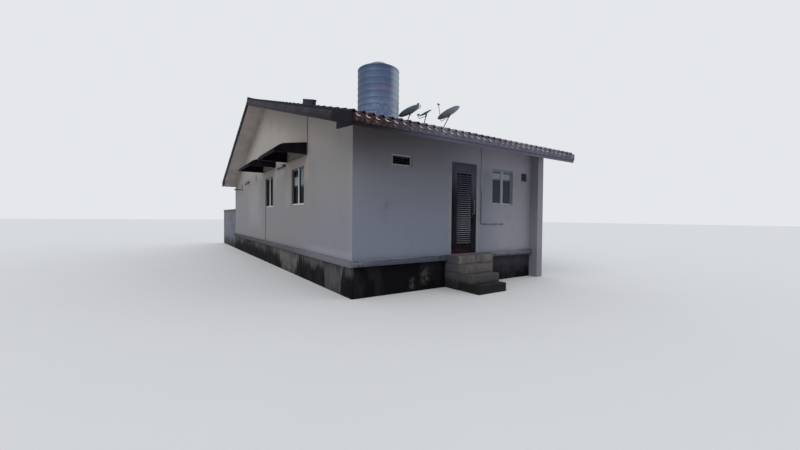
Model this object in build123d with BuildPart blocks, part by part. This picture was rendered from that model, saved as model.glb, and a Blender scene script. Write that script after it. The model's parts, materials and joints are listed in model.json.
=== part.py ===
"""End unit of a single-storey terrace: plinth, rendered walls, tiled gable roof, grille door,
window hoods, water tank and dishes. Millimetres, +Z up. Azimuth 0 looks at the rear wall, along +Y.
The origin is on the ground, at the middle of the plinth's underside."""

import os

from build123d import *

os.makedirs("parts", exist_ok=True)

# Plan
clear_width = 5500.0
side_length = 12950.0
wall_thickness = 150.0
party_thickness = 230.0
party_return = 250.0
front_recess = 1000.0

# Plinth and floor
plinth_height = 750.0
slab_thickness = 120.0
ledge_width = 90.0
slab_chamfer = 12.0

# Roof
ridge_from_rear = 6857.0
ridge_height = 5650.0
eave_height = 3281.0
rear_overhang = 1149.0
verge_overhang = 587.0
tile_depth = 70.0
rafter_depth = 170.0
rafter_width = 50.0
rafter_count = 9
ridge_board_width = 38.0
soffit_depth = 10.0
board_thickness = 25.0
barge_depth = 190.0
boxed_end_length = 586.0
boxed_end_rise = 56.0
fascia_depth = 188.0
fascia_setback = 40.0
ridge_tile_radius = 115.0
ridge_tile_wall = 15.0
ridge_tile_sink = 95.0

# Places across the house, from the gable wall's outer face to the party wall's far face
x_gable = -(clear_width + party_thickness) / 2
x_room = x_gable + wall_thickness
x_party = x_gable + clear_width
x_end = x_party + party_thickness
x_verge = x_gable - verge_overhang

# Places along the house, from the rear wall's outer face to the front
y_rear = -side_length / 2
y_side_end = side_length / 2
y_front = y_side_end - front_recess
y_ridge = y_rear + ridge_from_rear
y_rear_eave = y_rear - rear_overhang
y_front_eave = y_side_end + board_thickness + fascia_setback

z_floor = plinth_height
under_tiles = tile_depth
under_rafters = tile_depth + rafter_depth
under_soffit = under_rafters + soffit_depth
under_barge = tile_depth + barge_depth


def roof_z(y, depth=0.0):
    """Height of the roof's top face over a place y, less the depth of a layer below it."""
    eave = y_rear_eave if y <= y_ridge else y_front_eave
    share = (y - eave) / (y_ridge - eave)
    return eave_height + (ridge_height - eave_height) * share - depth


def save(part, name):
    """Label a finished piece and write it to its own file."""
    part.label = name
    export_step(part, f"parts/{name}.step")


def slope_points(y_low, y_high, top, bottom):
    """Outline of a layer of the roof between two places along it."""
    return [
        (y_low, roof_z(y_low, top)),
        (y_high, roof_z(y_high, top)),
        (y_high, roof_z(y_high, bottom)),
        (y_low, roof_z(y_low, bottom)),
    ]


def across(x_low, x_high, outline):
    """A solid with one outline, seen along the house's width, from x_low to x_high."""
    with BuildPart() as piece:
        with BuildSketch(Plane.YZ.offset(x_low)):
            with BuildLine():
                Polyline(*outline, close=True)
            make_face()
        extrude(amount=x_high - x_low)
    return piece.part


# Plinth: brick sides round rammed fill, one mass from the ground to the slab
with BuildPart() as plinth:
    with BuildSketch():
        with Locations(((x_gable + x_party) / 2, 0)):
            Rectangle(clear_width, side_length)
    extrude(amount=plinth_height - slab_thickness)
save(plinth.part, "plinth")

# Floor slab: its edge stands out past the plinth as a ledge at the gable side and the rear
with BuildPart() as floor_slab:
    with BuildSketch(Plane.XY.offset(plinth_height - slab_thickness)):
        with Locations(((x_gable - ledge_width + x_party) / 2, -ledge_width / 2)):
            Rectangle(clear_width + ledge_width, side_length + ledge_width)
    extrude(amount=slab_thickness)
    slab_edges = floor_slab.faces().sort_by(Axis.Z)[-1].edges()
    chamfer([slab_edges.sort_by(Axis.X)[0], slab_edges.sort_by(Axis.Y)[0]], slab_chamfer)
save(floor_slab.part, "floor_slab")

# Openings in the rear wall: the vent from the gable corner, the rest from the party wall
door_from_party = 2124.0
door_width = 817.0
door_height = 2160.0
vent_left = 895.0
vent_width = 520.0
vent_sill = 1926.0
vent_height = 245.0
rear_window_from_party = 755.0
rear_window_width = 793.0
rear_window_sill = 1198.0
rear_window_height = 905.0
block_vent_from_party = 170.0
block_vent_width = 230.0
block_vent_sill = 1867.0
block_vent_height = 219.0

x_door = (x_party - door_from_party - door_width, x_party - door_from_party)
z_door = (z_floor, z_floor + door_height)
x_vent = (x_gable + vent_left, x_gable + vent_left + vent_width)
z_vent = (z_floor + vent_sill, z_floor + vent_sill + vent_height)
x_window_end = x_party - rear_window_from_party
x_rear_window = (x_window_end - rear_window_width, x_window_end)
z_rear_window = (z_floor + rear_window_sill, z_floor + rear_window_sill + rear_window_height)
x_block_end = x_party - block_vent_from_party
x_block_vent = (x_block_end - block_vent_width, x_block_end)
z_block_vent = (z_floor + block_vent_sill, z_floor + block_vent_sill + block_vent_height)

# Openings in the gable wall, from the rear corner and from the floor
gable_window_width = 1033.0
gable_window_height = 994.0
gable_window_sill = 1162.0
gable_window_places = (2779.0, 5810.0)
z_gable_window = (z_floor + gable_window_sill, z_floor + gable_window_sill + gable_window_height)

# Openings in the front wall, from the gable corner
front_door_left = 3500.0
front_door_width = 950.0
front_door_height = 2160.0
front_window_left = 1300.0
x_front_door = (x_gable + front_door_left, x_gable + front_door_left + front_door_width)
z_front_door = (z_floor, z_floor + front_door_height)
x_front_window = (x_gable + front_window_left, x_gable + front_window_left + gable_window_width)

y_rear_wall = (y_rear, y_rear + wall_thickness)
y_front_wall = (y_front - wall_thickness, y_front)


def cross_wall(x, y, z_foot, holes):
    """A wall across the house, its top cut to the rafters' underside, with holes right through."""
    outline = [
        (y[0], z_foot),
        (y[1], z_foot),
        (y[1], roof_z(y[1], under_rafters)),
        (y[0], roof_z(y[0], under_rafters)),
    ]
    with BuildPart() as piece:
        with BuildSketch(Plane.YZ.offset(x[0])):
            with BuildLine():
                Polyline(*outline, close=True)
            make_face()
        extrude(amount=x[1] - x[0])
        for hole_x, hole_z in holes:
            with BuildSketch(Plane.XZ.offset(-y[1])):
                with Locations((sum(hole_x) / 2, sum(hole_z) / 2)):
                    Rectangle(hole_x[1] - hole_x[0], hole_z[1] - hole_z[0])
            extrude(amount=y[1] - y[0], mode=Mode.SUBTRACT)
    return piece.part


# Rear wall, split beside and over the doorway
save(cross_wall((x_room, x_door[0]), y_rear_wall, z_floor, [(x_vent, z_vent)]), "rear_wall_left")
rear_right_holes = [(x_rear_window, z_rear_window), (x_block_vent, z_block_vent)]
save(cross_wall((x_door[1], x_party), y_rear_wall, z_floor, rear_right_holes), "rear_wall_right")
save(cross_wall(x_door, y_rear_wall, z_door[1], []), "rear_wall_over_door")

# Front wall, set back between the ends of the side walls
front_holes = [(x_front_door, z_front_door), (x_front_window, z_gable_window)]
save(cross_wall((x_room, x_party), y_front_wall, z_floor, front_holes), "front_wall")


def side_outline(y_low, z_foot):
    """Outline of a side wall, from its rear end to the front, up to the underside of the tiles."""
    return [
        (y_low, z_foot),
        (y_side_end, z_foot),
        (y_side_end, roof_z(y_side_end, under_tiles)),
        (y_ridge, roof_z(y_ridge, under_tiles)),
        (y_low, roof_z(y_low, under_tiles)),
    ]


# Gable wall with its two window openings
with BuildPart() as gable_wall:
    with BuildSketch(Plane.YZ.offset(x_gable)):
        with BuildLine():
            Polyline(*side_outline(y_rear, z_floor), close=True)
        make_face()
        for place in gable_window_places:
            with Locations((y_rear + place + gable_window_width / 2, sum(z_gable_window) / 2)):
                Rectangle(gable_window_width, gable_window_height, mode=Mode.SUBTRACT)
    extrude(amount=wall_thickness)
save(gable_wall.part, "gable_wall")

# Party wall: plain, from the ground to the tiles, with a short return past the rear wall
save(across(x_party, x_end, side_outline(y_rear - party_return, 0.0)), "party_wall")

# Side wall of the front yard, in line with the gable wall
yard_wall_length = 3950.0
yard_wall_height = 1950.0
yard_wall_thickness = 115.0
yard_wall_coping = 60.0
coping_lip = 15.0
y_yard = (y_side_end, y_side_end + yard_wall_length)
with BuildPart() as yard_side_wall:
    with BuildSketch(Plane.XZ.offset(-y_yard[1])):
        with Locations((x_gable, 0)):
            Rectangle(yard_wall_thickness, yard_wall_height, align=(Align.MIN, Align.MIN))
        with Locations((x_gable - coping_lip, yard_wall_height - yard_wall_coping)):
            coping_width = yard_wall_thickness + 2 * coping_lip
            Rectangle(coping_width, yard_wall_coping, align=(Align.MIN, Align.MIN))
    extrude(amount=yard_wall_length)
save(yard_side_wall.part, "yard_side_wall")

# Rear steps: four blocks of cast concrete, each from the ground to its own tread
landing_before_door = 179.0
landing_width = 1120.0
landing_depth = 440.0
step_inset = 20.0
step_width = 850.0
step_going = 200.0
step_nose = 6.0
step_count = 4
step_rise = plinth_height / step_count
x_landing = x_door[0] - landing_before_door

# The topmost block is the landing, notched to fit under the slab's ledge
with BuildPart() as landing:
    with BuildSketch(Plane.YZ.offset(x_landing)):
        with BuildLine():
            Polyline(
                (y_rear, 0),
                (y_rear, plinth_height - slab_thickness),
                (y_rear - ledge_width, plinth_height - slab_thickness),
                (y_rear - ledge_width, plinth_height),
                (y_rear - landing_depth, plinth_height),
                (y_rear - landing_depth, 0),
                close=True,
            )
        make_face()
    extrude(amount=landing_width)
    chamfer(landing.faces().sort_by(Axis.Z)[-1].edges().sort_by(Axis.Y)[0], step_nose)
save(landing.part, f"rear_step_{step_count}")

for number in range(1, step_count):
    y_inner = y_rear - landing_depth - (number - 1) * step_going
    with BuildPart() as step:
        with BuildSketch():
            with Locations((x_landing + step_inset + step_width / 2, y_inner - step_going / 2)):
                Rectangle(step_width, step_going)
        extrude(amount=plinth_height - number * step_rise)
        chamfer(step.faces().sort_by(Axis.Z)[-1].edges().sort_by(Axis.Y)[0], step_nose)
    save(step.part, f"rear_step_{step_count - number}")

# Water tank, through a hole in the rear slope, on a platform between the side walls
tank_from_gable = 1150.0
tank_from_rear = 1000.0
tank_radius = 475.0
tank_height = 1430.0
tank_wall = 12.0
tank_rib = 9.0
tank_rib_width = 30.0
tank_rib_pitch = 143.0
tank_dome_rise = 130.0
tank_neck_radius = 180.0
tank_neck_height = 30.0
tank_lid_radius = 200.0
tank_lid_rise = 45.0
tank_inlet_radius = 14.0
tank_inlet_bend = 28.0
tank_inlet_drop = 60.0
tank_inlet_reach = 70.0
roof_hole_clearance = 25.0
deck_thickness = 40.0
deck_width = 1000.0
deck_length = 880.0
joist_depth = 150.0
joist_width = 75.0
joist_spacing = 560.0
deck_clearance = 7.0

x_tank = x_gable + tank_from_gable
y_tank = y_rear + tank_from_rear
z_deck_top = roof_z(y_tank - deck_length / 2, under_rafters) - deck_clearance
z_shoulder = z_deck_top + tank_height
roof_hole_radius = tank_radius + tank_rib + roof_hole_clearance
tank_plane = Plane(origin=(x_tank, y_tank, 0), x_dir=(1, 0, 0), z_dir=(0, -1, 0))
tank_axis = Axis((x_tank, y_tank, 0), (0, 0, 1))


def cut_for_tank(part):
    """The part less an upright round hole that the tank passes through."""
    with BuildPart() as hole:
        with BuildSketch(Plane.XY.offset(z_floor)):
            with Locations((x_tank, y_tank)):
                Circle(roof_hole_radius)
        extrude(amount=ridge_height)
    return part - hole.part


# Roof slopes: the layer of tiles and battens
rear_slope = across(x_verge, x_end, slope_points(y_rear_eave, y_ridge, 0.0, under_tiles))
save(cut_for_tank(rear_slope), "roof_slope_rear")
front_slope = across(x_verge, x_end, slope_points(y_ridge, y_front_eave, 0.0, under_tiles))
save(front_slope, "roof_slope_front")

# Ridge cap: half-round tiles bedded over the two slopes
with BuildPart() as ridge_cap:
    with BuildSketch(Plane.YZ.offset(x_verge)):
        with Locations((y_ridge, ridge_height - ridge_tile_sink)):
            Circle(ridge_tile_radius)
            Circle(ridge_tile_radius - ridge_tile_wall, mode=Mode.SUBTRACT)
        with BuildLine():
            Polyline(
                (y_ridge, ridge_height),
                (y_rear, roof_z(y_rear)),
                (y_rear, 0),
                (y_side_end, 0),
                (y_side_end, roof_z(y_side_end)),
                close=True,
            )
        make_face(mode=Mode.SUBTRACT)
    extrude(amount=x_end - x_verge)
save(ridge_cap.part, "ridge_cap")

# Ridge board and rafters, hidden above the soffits
y_ridge_board = (y_ridge - ridge_board_width / 2, y_ridge + ridge_board_width / 2)
with BuildPart() as ridge_board:
    with BuildSketch(Plane.YZ.offset(x_room)):
        with BuildLine():
            Polyline(
                (y_ridge_board[0], roof_z(y_ridge_board[0], under_rafters)),
                (y_ridge_board[1], roof_z(y_ridge_board[1], under_rafters)),
                (y_ridge_board[1], roof_z(y_ridge_board[1], under_tiles)),
                (y_ridge, ridge_height - under_tiles),
                (y_ridge_board[0], roof_z(y_ridge_board[0], under_tiles)),
                close=True,
            )
        make_face()
    extrude(amount=x_party - x_room)
save(ridge_board.part, "ridge_board")

y_rear_fascia = y_rear_eave + fascia_setback
y_front_fascia = y_front_eave - fascia_setback
y_rear_tail = y_rear_fascia + board_thickness
y_front_tail = y_front_fascia - board_thickness
rafter_gap = (x_party - x_room - rafter_width) / (rafter_count + 1)
rear_rafter = slope_points(y_rear_tail, y_ridge_board[0], under_tiles, under_rafters)
front_rafter = slope_points(y_ridge_board[1], y_front_tail, under_tiles, under_rafters)
end_rafter = slope_points(y_rear_tail, y_rear - party_return, under_tiles, under_rafters)
rafter_solids = []
for number in range(1, rafter_count + 1):
    x_rafter = x_room + number * rafter_gap
    rafter_solids += cut_for_tank(across(x_rafter, x_rafter + rafter_width, rear_rafter)).solids()
    rafter_solids += across(x_rafter, x_rafter + rafter_width, front_rafter).solids()
rafter_solids += across(x_end - rafter_width, x_end, end_rafter).solids()
save(Compound(rafter_solids), "rafters")

# Soffits: flat sheets under the rafters, along the verge and under both eaves
with BuildPart() as verge_soffit:
    with BuildSketch(Plane.YZ.offset(x_verge + board_thickness)):
        with BuildLine():
            Polyline(
                (y_rear_tail, roof_z(y_rear_tail, under_rafters)),
                (y_ridge, ridge_height - under_rafters),
                (y_front_tail, roof_z(y_front_tail, under_rafters)),
                (y_front_tail, roof_z(y_front_tail, under_soffit)),
                (y_ridge, ridge_height - under_soffit),
                (y_rear_tail, roof_z(y_rear_tail, under_soffit)),
                close=True,
            )
        make_face()
    extrude(amount=verge_overhang - board_thickness)
save(verge_soffit.part, "verge_soffit")

y_return = y_rear - party_return
rear_soffit = across(x_gable, x_party, slope_points(y_rear_tail, y_rear, under_rafters, under_soffit))
rear_soffit += across(x_party, x_end, slope_points(y_rear_tail, y_return, under_rafters, under_soffit))
front_soffit = across(x_room, x_party, slope_points(y_front, y_front_tail, under_rafters, under_soffit))
save(Compound(rear_soffit.solids() + front_soffit.solids()), "eave_soffits")

# Fascia boards across both eaves, set back under the ends of the tiles
fascia_foot = under_tiles + fascia_depth
rear_fascia = slope_points(y_rear_fascia, y_rear_tail, under_tiles, fascia_foot)
front_fascia = slope_points(y_front_tail, y_front_fascia, under_tiles, fascia_foot)
fascia_solids = across(x_verge + board_thickness, x_end, rear_fascia).solids()
fascia_solids += across(x_verge + board_thickness, x_end, front_fascia).solids()
save(Compound(fascia_solids), "fascia_boards")


def barge_outline(y_eave, inward):
    """Outline of a barge board: a straight board whose last stretch is boxed down to the fascia."""
    y_box = y_eave + inward * boxed_end_length
    return [
        (y_eave, eave_height - under_tiles),
        (y_ridge, ridge_height - under_tiles),
        (y_ridge, ridge_height - under_barge),
        (y_box, roof_z(y_box, under_barge)),
        (y_box, eave_height - fascia_foot + boxed_end_rise),
        (y_eave, eave_height - fascia_foot),
    ]


save(across(x_verge, x_verge + board_thickness, barge_outline(y_rear_eave, 1)), "barge_board_rear")
save(across(x_verge, x_verge + board_thickness, barge_outline(y_front_eave, -1)), "barge_board_front")

# Spare tiles bedded in a low block on the verge
verge_block_place = 550.0
verge_block_length = 640.0
verge_block_width = 80.0
verge_block_height = 90.0
y_verge_block = (y_rear + verge_block_place, y_rear + verge_block_place + verge_block_length)
verge_block_outline = slope_points(*y_verge_block, -verge_block_height, 0.0)
verge_block = across(x_verge, x_verge + verge_block_width, verge_block_outline)
save(verge_block, "verge_block")

# Tank platform: two joists from the gable wall to the party wall, with a deck on them
z_deck = z_deck_top - deck_thickness
with BuildPart() as tank_platform:
    with BuildSketch(Plane.XY.offset(z_deck - joist_depth)):
        with Locations(((x_room + x_party) / 2, y_tank)):
            with GridLocations(0, joist_spacing, 1, 2):
                Rectangle(x_party - x_room, joist_width)
    extrude(amount=joist_depth)
    with BuildSketch(Plane.XY.offset(z_deck)):
        with Locations((x_tank, y_tank)):
            Rectangle(deck_width, deck_length)
    extrude(amount=deck_thickness)
save(tank_platform.part, "tank_platform")

# Tank shell: a sheet cylinder swaged with ribs, closed below by its base
rib_count = int(tank_height / tank_rib_pitch) - 1
with BuildPart() as tank_shell:
    with BuildSketch(tank_plane):
        with Locations((tank_radius - tank_wall, z_deck_top)):
            Rectangle(tank_wall, tank_height, align=(Align.MIN, Align.MIN))
        with Locations((0, z_deck_top)):
            Rectangle(tank_radius, tank_wall, align=(Align.MIN, Align.MIN))
        for number in range(1, rib_count + 1):
            z_rib = z_deck_top + number * tank_rib_pitch
            with BuildLine():
                Polyline(
                    (tank_radius, z_rib - tank_rib_width / 2),
                    (tank_radius + tank_rib, z_rib - tank_rib_width / 6),
                    (tank_radius + tank_rib, z_rib + tank_rib_width / 6),
                    (tank_radius, z_rib + tank_rib_width / 2),
                    close=True,
                )
            make_face()
    revolve(axis=tank_axis)
save(tank_shell.part, "tank_shell")

# Tank top: a shallow dome with a round neck for the lid
dome_radius = (tank_radius**2 + tank_dome_rise**2) / (2 * tank_dome_rise)
z_dome_centre = z_shoulder + tank_dome_rise - dome_radius


def dome_z(radius, distance):
    """Height of a sphere about the dome's centre, at a distance from the tank's axis."""
    return z_dome_centre + (radius**2 - distance**2) ** 0.5


dome_inside = dome_radius - tank_wall
dome_foot = (dome_inside**2 - (z_shoulder - z_dome_centre) ** 2) ** 0.5
z_neck = dome_z(dome_radius, tank_neck_radius) + tank_neck_height
dome_middle = (tank_radius + tank_neck_radius) / 2
with BuildPart() as tank_top:
    with BuildSketch(tank_plane):
        with BuildLine():
            ThreePointArc(
                (tank_neck_radius, dome_z(dome_radius, tank_neck_radius)),
                (dome_middle, dome_z(dome_radius, dome_middle)),
                (tank_radius, z_shoulder),
            )
            Line((tank_radius, z_shoulder), (dome_foot, z_shoulder))
            ThreePointArc(
                (dome_foot, z_shoulder),
                (dome_middle, dome_z(dome_inside, dome_middle)),
                (tank_neck_radius - tank_wall, dome_z(dome_inside, tank_neck_radius - tank_wall)),
            )
            Polyline(
                (tank_neck_radius - tank_wall, dome_z(dome_inside, tank_neck_radius - tank_wall)),
                (tank_neck_radius - tank_wall, z_neck),
                (tank_neck_radius, z_neck),
                (tank_neck_radius, dome_z(dome_radius, tank_neck_radius)),
            )
        make_face()
    revolve(axis=tank_axis)
save(tank_top.part, "tank_top")


def cap_height(radius, rise, distance):
    """Height over its rim of a spherical cap, at a distance from its axis."""
    sphere = (radius**2 + rise**2) / (2 * rise)
    return (sphere**2 - distance**2) ** 0.5 - sphere + rise


# Tank lid: a pressed cap with a rolled skirt, resting on the neck
lid_skirt = 18.0
z_lid_rim = z_neck + tank_wall
lid_middle = tank_lid_radius / 2
with BuildPart() as tank_lid:
    with BuildSketch(tank_plane):
        with BuildLine():
            Polyline(
                (0, z_neck),
                (tank_neck_radius, z_neck),
                (tank_neck_radius, z_neck - lid_skirt),
                (tank_lid_radius, z_neck - lid_skirt),
                (tank_lid_radius, z_lid_rim),
            )
            ThreePointArc(
                (tank_lid_radius, z_lid_rim),
                (lid_middle, z_lid_rim + cap_height(tank_lid_radius, tank_lid_rise, lid_middle)),
                (0, z_lid_rim + tank_lid_rise),
            )
            Line((0, z_lid_rim + tank_lid_rise), (0, z_neck))
        make_face()
    revolve(axis=tank_axis)
save(tank_lid.part, "tank_lid")


def tube(points, radius, bend):
    """A round bar or pipe along straight runs joined by arcs."""
    with BuildPart() as piece:
        with BuildLine() as route:
            if bend:
                FilletPolyline(*points, radius=bend)
            else:
                Polyline(*points)
        start = Vector(*points[0])
        with BuildSketch(Plane(origin=start, z_dir=Vector(*points[1]) - start)):
            Circle(radius)
        sweep(path=route.wires()[0])
    return piece.part


# Tank inlet: a short elbow out of the shell, under its shoulder
x_inlet = x_tank + tank_radius
z_inlet = z_shoulder - tank_inlet_drop
inlet_points = [
    (x_inlet, y_tank, z_inlet),
    (x_inlet + tank_inlet_reach, y_tank, z_inlet),
    (x_inlet + tank_inlet_reach, y_tank, z_inlet + tank_inlet_drop),
]
save(tube(inlet_points, tank_inlet_radius, tank_inlet_bend), "tank_inlet")

# Window hoods: a moulded sheet that runs out from the wall and curls down, with closed cheeks
hood_places = (2525.0, 5470.0)
hood_length = 1712.0
hood_projection = 844.0
hood_foot = 2406.0
hood_top = 2713.0
hood_flat = 537.0
hood_fall = 83.0
hood_sheet = 8.0
hood_frame_bar = 25.0
hood_frame_inset = 32.0


def hood_block(y, shift):
    """A solid with the hood's side outline, moved in and down by a shift, between two places."""
    root = (x_gable + shift, z_floor + hood_top - shift)
    brow = (root[0] - hood_flat, root[1] - hood_fall)
    edge = (root[0] - hood_projection, z_floor + hood_foot - shift)
    with BuildPart() as piece:
        with BuildSketch(Plane.XZ.offset(-y[1])):
            with BuildLine():
                Line(root, brow)
                TangentArc(brow, edge, tangent=(-hood_flat, -hood_fall))
                Polyline(edge, (root[0], edge[1]), root)
            make_face()
        extrude(amount=y[1] - y[0])
    return piece.part


hood_solids = []
hood_frame_solids = []
frame_reach = hood_projection - hood_frame_inset
frame_length = hood_length - 2 * hood_sheet
for place in hood_places:
    y_hood = (y_rear + place, y_rear + place + hood_length)
    hollow = (y_hood[0] + hood_sheet, y_hood[1] - hood_sheet)
    hood_solids += (hood_block(y_hood, 0) - hood_block(hollow, hood_sheet)).solids()
    with BuildPart() as hood_frame:
        with BuildSketch(Plane.XY.offset(z_floor + hood_foot)):
            with Locations((x_gable - frame_reach / 2, sum(y_hood) / 2)):
                Rectangle(frame_reach, frame_length)
                inner_size = (frame_reach - 2 * hood_frame_bar, frame_length - 2 * hood_frame_bar)
                Rectangle(*inner_size, mode=Mode.SUBTRACT)
        extrude(amount=hood_frame_bar)
    hood_frame_solids += hood_frame.part.solids()
save(Compound(hood_solids), "window_hoods")
save(Compound(hood_frame_solids), "hood_frames")

# Windows: a white frame round two sashes, each with one pane
frame_setback = 25.0
frame_border = 30.0
frame_depth = 75.0
sash_border = 20.0
sash_depth = 35.0
mullion = 40.0
pane_thickness = 6.0
light_count = 2


def window_plane(middle, outward):
    """A plane on a wall's outer face, at an opening's middle, that looks outward."""
    return Plane(origin=middle, x_dir=Vector(0, 0, 1).cross(Vector(*outward)), z_dir=outward)


def window_frame(plane, width, height):
    """Frame, mullion and sashes, set back from the wall's outer face."""
    light_width = (width - 2 * frame_border - mullion) / light_count
    light_pitch = light_width + mullion
    with BuildPart() as piece:
        with BuildSketch(plane.offset(-frame_setback)):
            Rectangle(width, height)
            with GridLocations(light_pitch, 0, light_count, 1):
                Rectangle(light_width, height - 2 * frame_border, mode=Mode.SUBTRACT)
        extrude(amount=-frame_depth)
        with BuildSketch(plane.offset(-frame_setback - (frame_depth - sash_depth) / 2)):
            with GridLocations(light_pitch, 0, light_count, 1):
                Rectangle(light_width, height - 2 * frame_border)
                sight_height = height - 2 * (frame_border + sash_border)
                Rectangle(light_width - 2 * sash_border, sight_height, mode=Mode.SUBTRACT)
        extrude(amount=-sash_depth)
    return piece.part


def window_panes(plane, width, height):
    """The two panes that close a window's sashes."""
    light_width = (width - 2 * frame_border - mullion) / light_count
    with BuildPart() as piece:
        with BuildSketch(plane.offset(-frame_setback - (frame_depth - pane_thickness) / 2)):
            with GridLocations(light_width + mullion, 0, light_count, 1):
                Rectangle(light_width - 2 * sash_border, height - 2 * (frame_border + sash_border))
        extrude(amount=-pane_thickness)
    return piece.part


gable_planes = []
for place in gable_window_places:
    middle = (x_gable, y_rear + place + gable_window_width / 2, sum(z_gable_window) / 2)
    gable_planes.append(window_plane(middle, (-1, 0, 0)))
rear_window_plane = window_plane((sum(x_rear_window) / 2, y_rear, sum(z_rear_window) / 2), (0, -1, 0))
front_window_plane = window_plane((sum(x_front_window) / 2, y_front, sum(z_gable_window) / 2), (0, 1, 0))

gable_size = (gable_window_width, gable_window_height)
rear_size = (rear_window_width, rear_window_height)
gable_frames = [window_frame(plane, *gable_size).solid() for plane in gable_planes]
save(Compound(gable_frames), "gable_window_frames")
save(window_frame(rear_window_plane, *rear_size), "rear_window_frame")
save(window_frame(front_window_plane, *gable_size), "front_window_frame")
panes = window_panes(rear_window_plane, *rear_size).solids()
panes += window_panes(front_window_plane, *gable_size).solids()
for plane in gable_planes:
    panes += window_panes(plane, *gable_size).solids()
save(Compound(panes), "window_panes")

# Bathroom vent: a white frame with tilted blades between its sides
vent_border = 38.0
vent_depth = 70.0
blade_count = 4
blade_width = 52.0
blade_thickness = 5.0
blade_tilt = 40.0
vent_plane = window_plane((sum(x_vent) / 2, y_rear, sum(z_vent) / 2), (0, -1, 0)).offset(-frame_setback)
blade_pitch = (vent_height - 2 * vent_border) / blade_count
with BuildPart() as vent_frame:
    with BuildSketch(vent_plane):
        Rectangle(vent_width, vent_height)
        Rectangle(vent_width - 2 * vent_border, vent_height - 2 * vent_border, mode=Mode.SUBTRACT)
    extrude(amount=-vent_depth)
save(vent_frame.part, "vent_window_frame")

with BuildPart() as vent_blades:
    with BuildSketch(Plane.YZ.offset(x_vent[0] + vent_border)):
        with Locations((y_rear + frame_setback + vent_depth / 2, sum(z_vent) / 2)):
            with GridLocations(0, blade_pitch, 1, blade_count):
                Rectangle(blade_width, blade_thickness, rotation=blade_tilt)
    extrude(amount=vent_width - 2 * vent_border)
save(vent_blades.part, "vent_blades")

# Vent block: a cast block with slots, built into the wall
slot_count = 3
slot_height = 34.0
slot_border = 32.0
slot_pitch = 57.0
with BuildPart() as vent_block:
    with BuildSketch(window_plane((sum(x_block_vent) / 2, y_rear, sum(z_block_vent) / 2), (0, -1, 0))):
        Rectangle(block_vent_width, block_vent_height)
        with GridLocations(0, slot_pitch, 1, slot_count):
            Rectangle(block_vent_width - 2 * slot_border, slot_height, mode=Mode.SUBTRACT)
    extrude(amount=-wall_thickness)
save(vent_block.part, "vent_block")

# Rear doorway: a frame with a sill, and the fixed halves of three lift-off hinges
door_frame_face = 60.0
door_frame_depth = 100.0
door_sill = 22.0
leaf_gap = 5.0
leaf_depth = 35.0
knuckle_radius = 9.0
knuckle_height = 40.0
knuckle_stand = 10.0
knuckle_gap = 1.0
pin_radius = 6.0
pin_height = 32.0
pin_clearance = 0.5
strap_length = 38.0
strap_thickness = 6.0
hinge_heights = (260.0, 1060.0, 1860.0)

x_jambs = (x_door[0] + door_frame_face, x_door[1] - door_frame_face)
x_leaf = (x_jambs[0] + leaf_gap, x_jambs[1] - leaf_gap)
z_leaf = (z_floor + door_sill + leaf_gap, z_door[1] - door_frame_face - leaf_gap)
x_hinge = (x_jambs[0] + x_leaf[0]) / 2
y_hinge = y_rear - knuckle_stand

with BuildPart() as rear_door_frame:
    with BuildSketch(Plane.XZ.offset(-y_rear)):
        with Locations((sum(x_door) / 2, sum(z_door) / 2)):
            Rectangle(door_width, door_height)
        opening_height = z_door[1] - door_frame_face - z_floor - door_sill
        with Locations((sum(x_jambs) / 2, z_floor + door_sill + opening_height / 2)):
            Rectangle(x_jambs[1] - x_jambs[0], opening_height, mode=Mode.SUBTRACT)
    extrude(amount=-door_frame_depth)
    for height in hinge_heights:
        with BuildSketch(Plane.XY.offset(z_floor + height)):
            with Locations((x_hinge, y_hinge)):
                Circle(knuckle_radius)
            with Locations((x_hinge - strap_length / 2, y_rear - strap_thickness / 2)):
                Rectangle(strap_length, strap_thickness)
        extrude(amount=knuckle_height)
        with BuildSketch(Plane.XY.offset(z_floor + height + knuckle_height)):
            with Locations((x_hinge, y_hinge)):
                Circle(pin_radius)
        extrude(amount=pin_height)
save(rear_door_frame.part, "rear_door_frame")

# Grille door: a steel leaf with wide stiles, a kick panel, a head panel and its own knuckles
stile = 105.0
rail = 40.0
kick_height = 175.0
head_panel_height = 190.0
panel_sheet = 10.0
panel_stand = 8.0
z_field = (z_leaf[0] + kick_height, z_leaf[1] - head_panel_height)
x_field = (x_leaf[0] + stile, x_leaf[1] - stile)
with BuildPart() as grille_leaf:
    with BuildSketch(Plane.XZ.offset(-y_rear)):
        with Locations((sum(x_leaf) / 2, sum(z_leaf) / 2)):
            Rectangle(x_leaf[1] - x_leaf[0], z_leaf[1] - z_leaf[0])
        for low, high in (
            (z_leaf[0] + rail, z_field[0] - rail),
            z_field,
            (z_field[1] + rail, z_leaf[1] - rail),
        ):
            with Locations((sum(x_field) / 2, (low + high) / 2)):
                Rectangle(x_field[1] - x_field[0], high - low, mode=Mode.SUBTRACT)
    extrude(amount=-leaf_depth)
    with BuildSketch(Plane.XZ.offset(-y_rear - panel_stand)):
        for low, high in ((z_leaf[0] + rail, z_field[0] - rail), (z_field[1] + rail, z_leaf[1] - rail)):
            with Locations((sum(x_field) / 2, (low + high) / 2)):
                Rectangle(x_field[1] - x_field[0], high - low)
    extrude(amount=-panel_sheet)
    for height in hinge_heights:
        z_knuckle = z_floor + height + knuckle_height + knuckle_gap
        with BuildSketch(Plane.XY.offset(z_knuckle)):
            with Locations((x_hinge, y_hinge)):
                Circle(knuckle_radius)
            with Locations((x_hinge + strap_length / 2, y_rear - strap_thickness / 2)):
                Rectangle(strap_length, strap_thickness)
        extrude(amount=knuckle_height)
        with BuildSketch(Plane.XY.offset(z_knuckle)):
            with Locations((x_hinge, y_hinge)):
                Circle(pin_radius + pin_clearance)
        extrude(amount=pin_height, mode=Mode.SUBTRACT)
save(grille_leaf.part, "grille_leaf")

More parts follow.
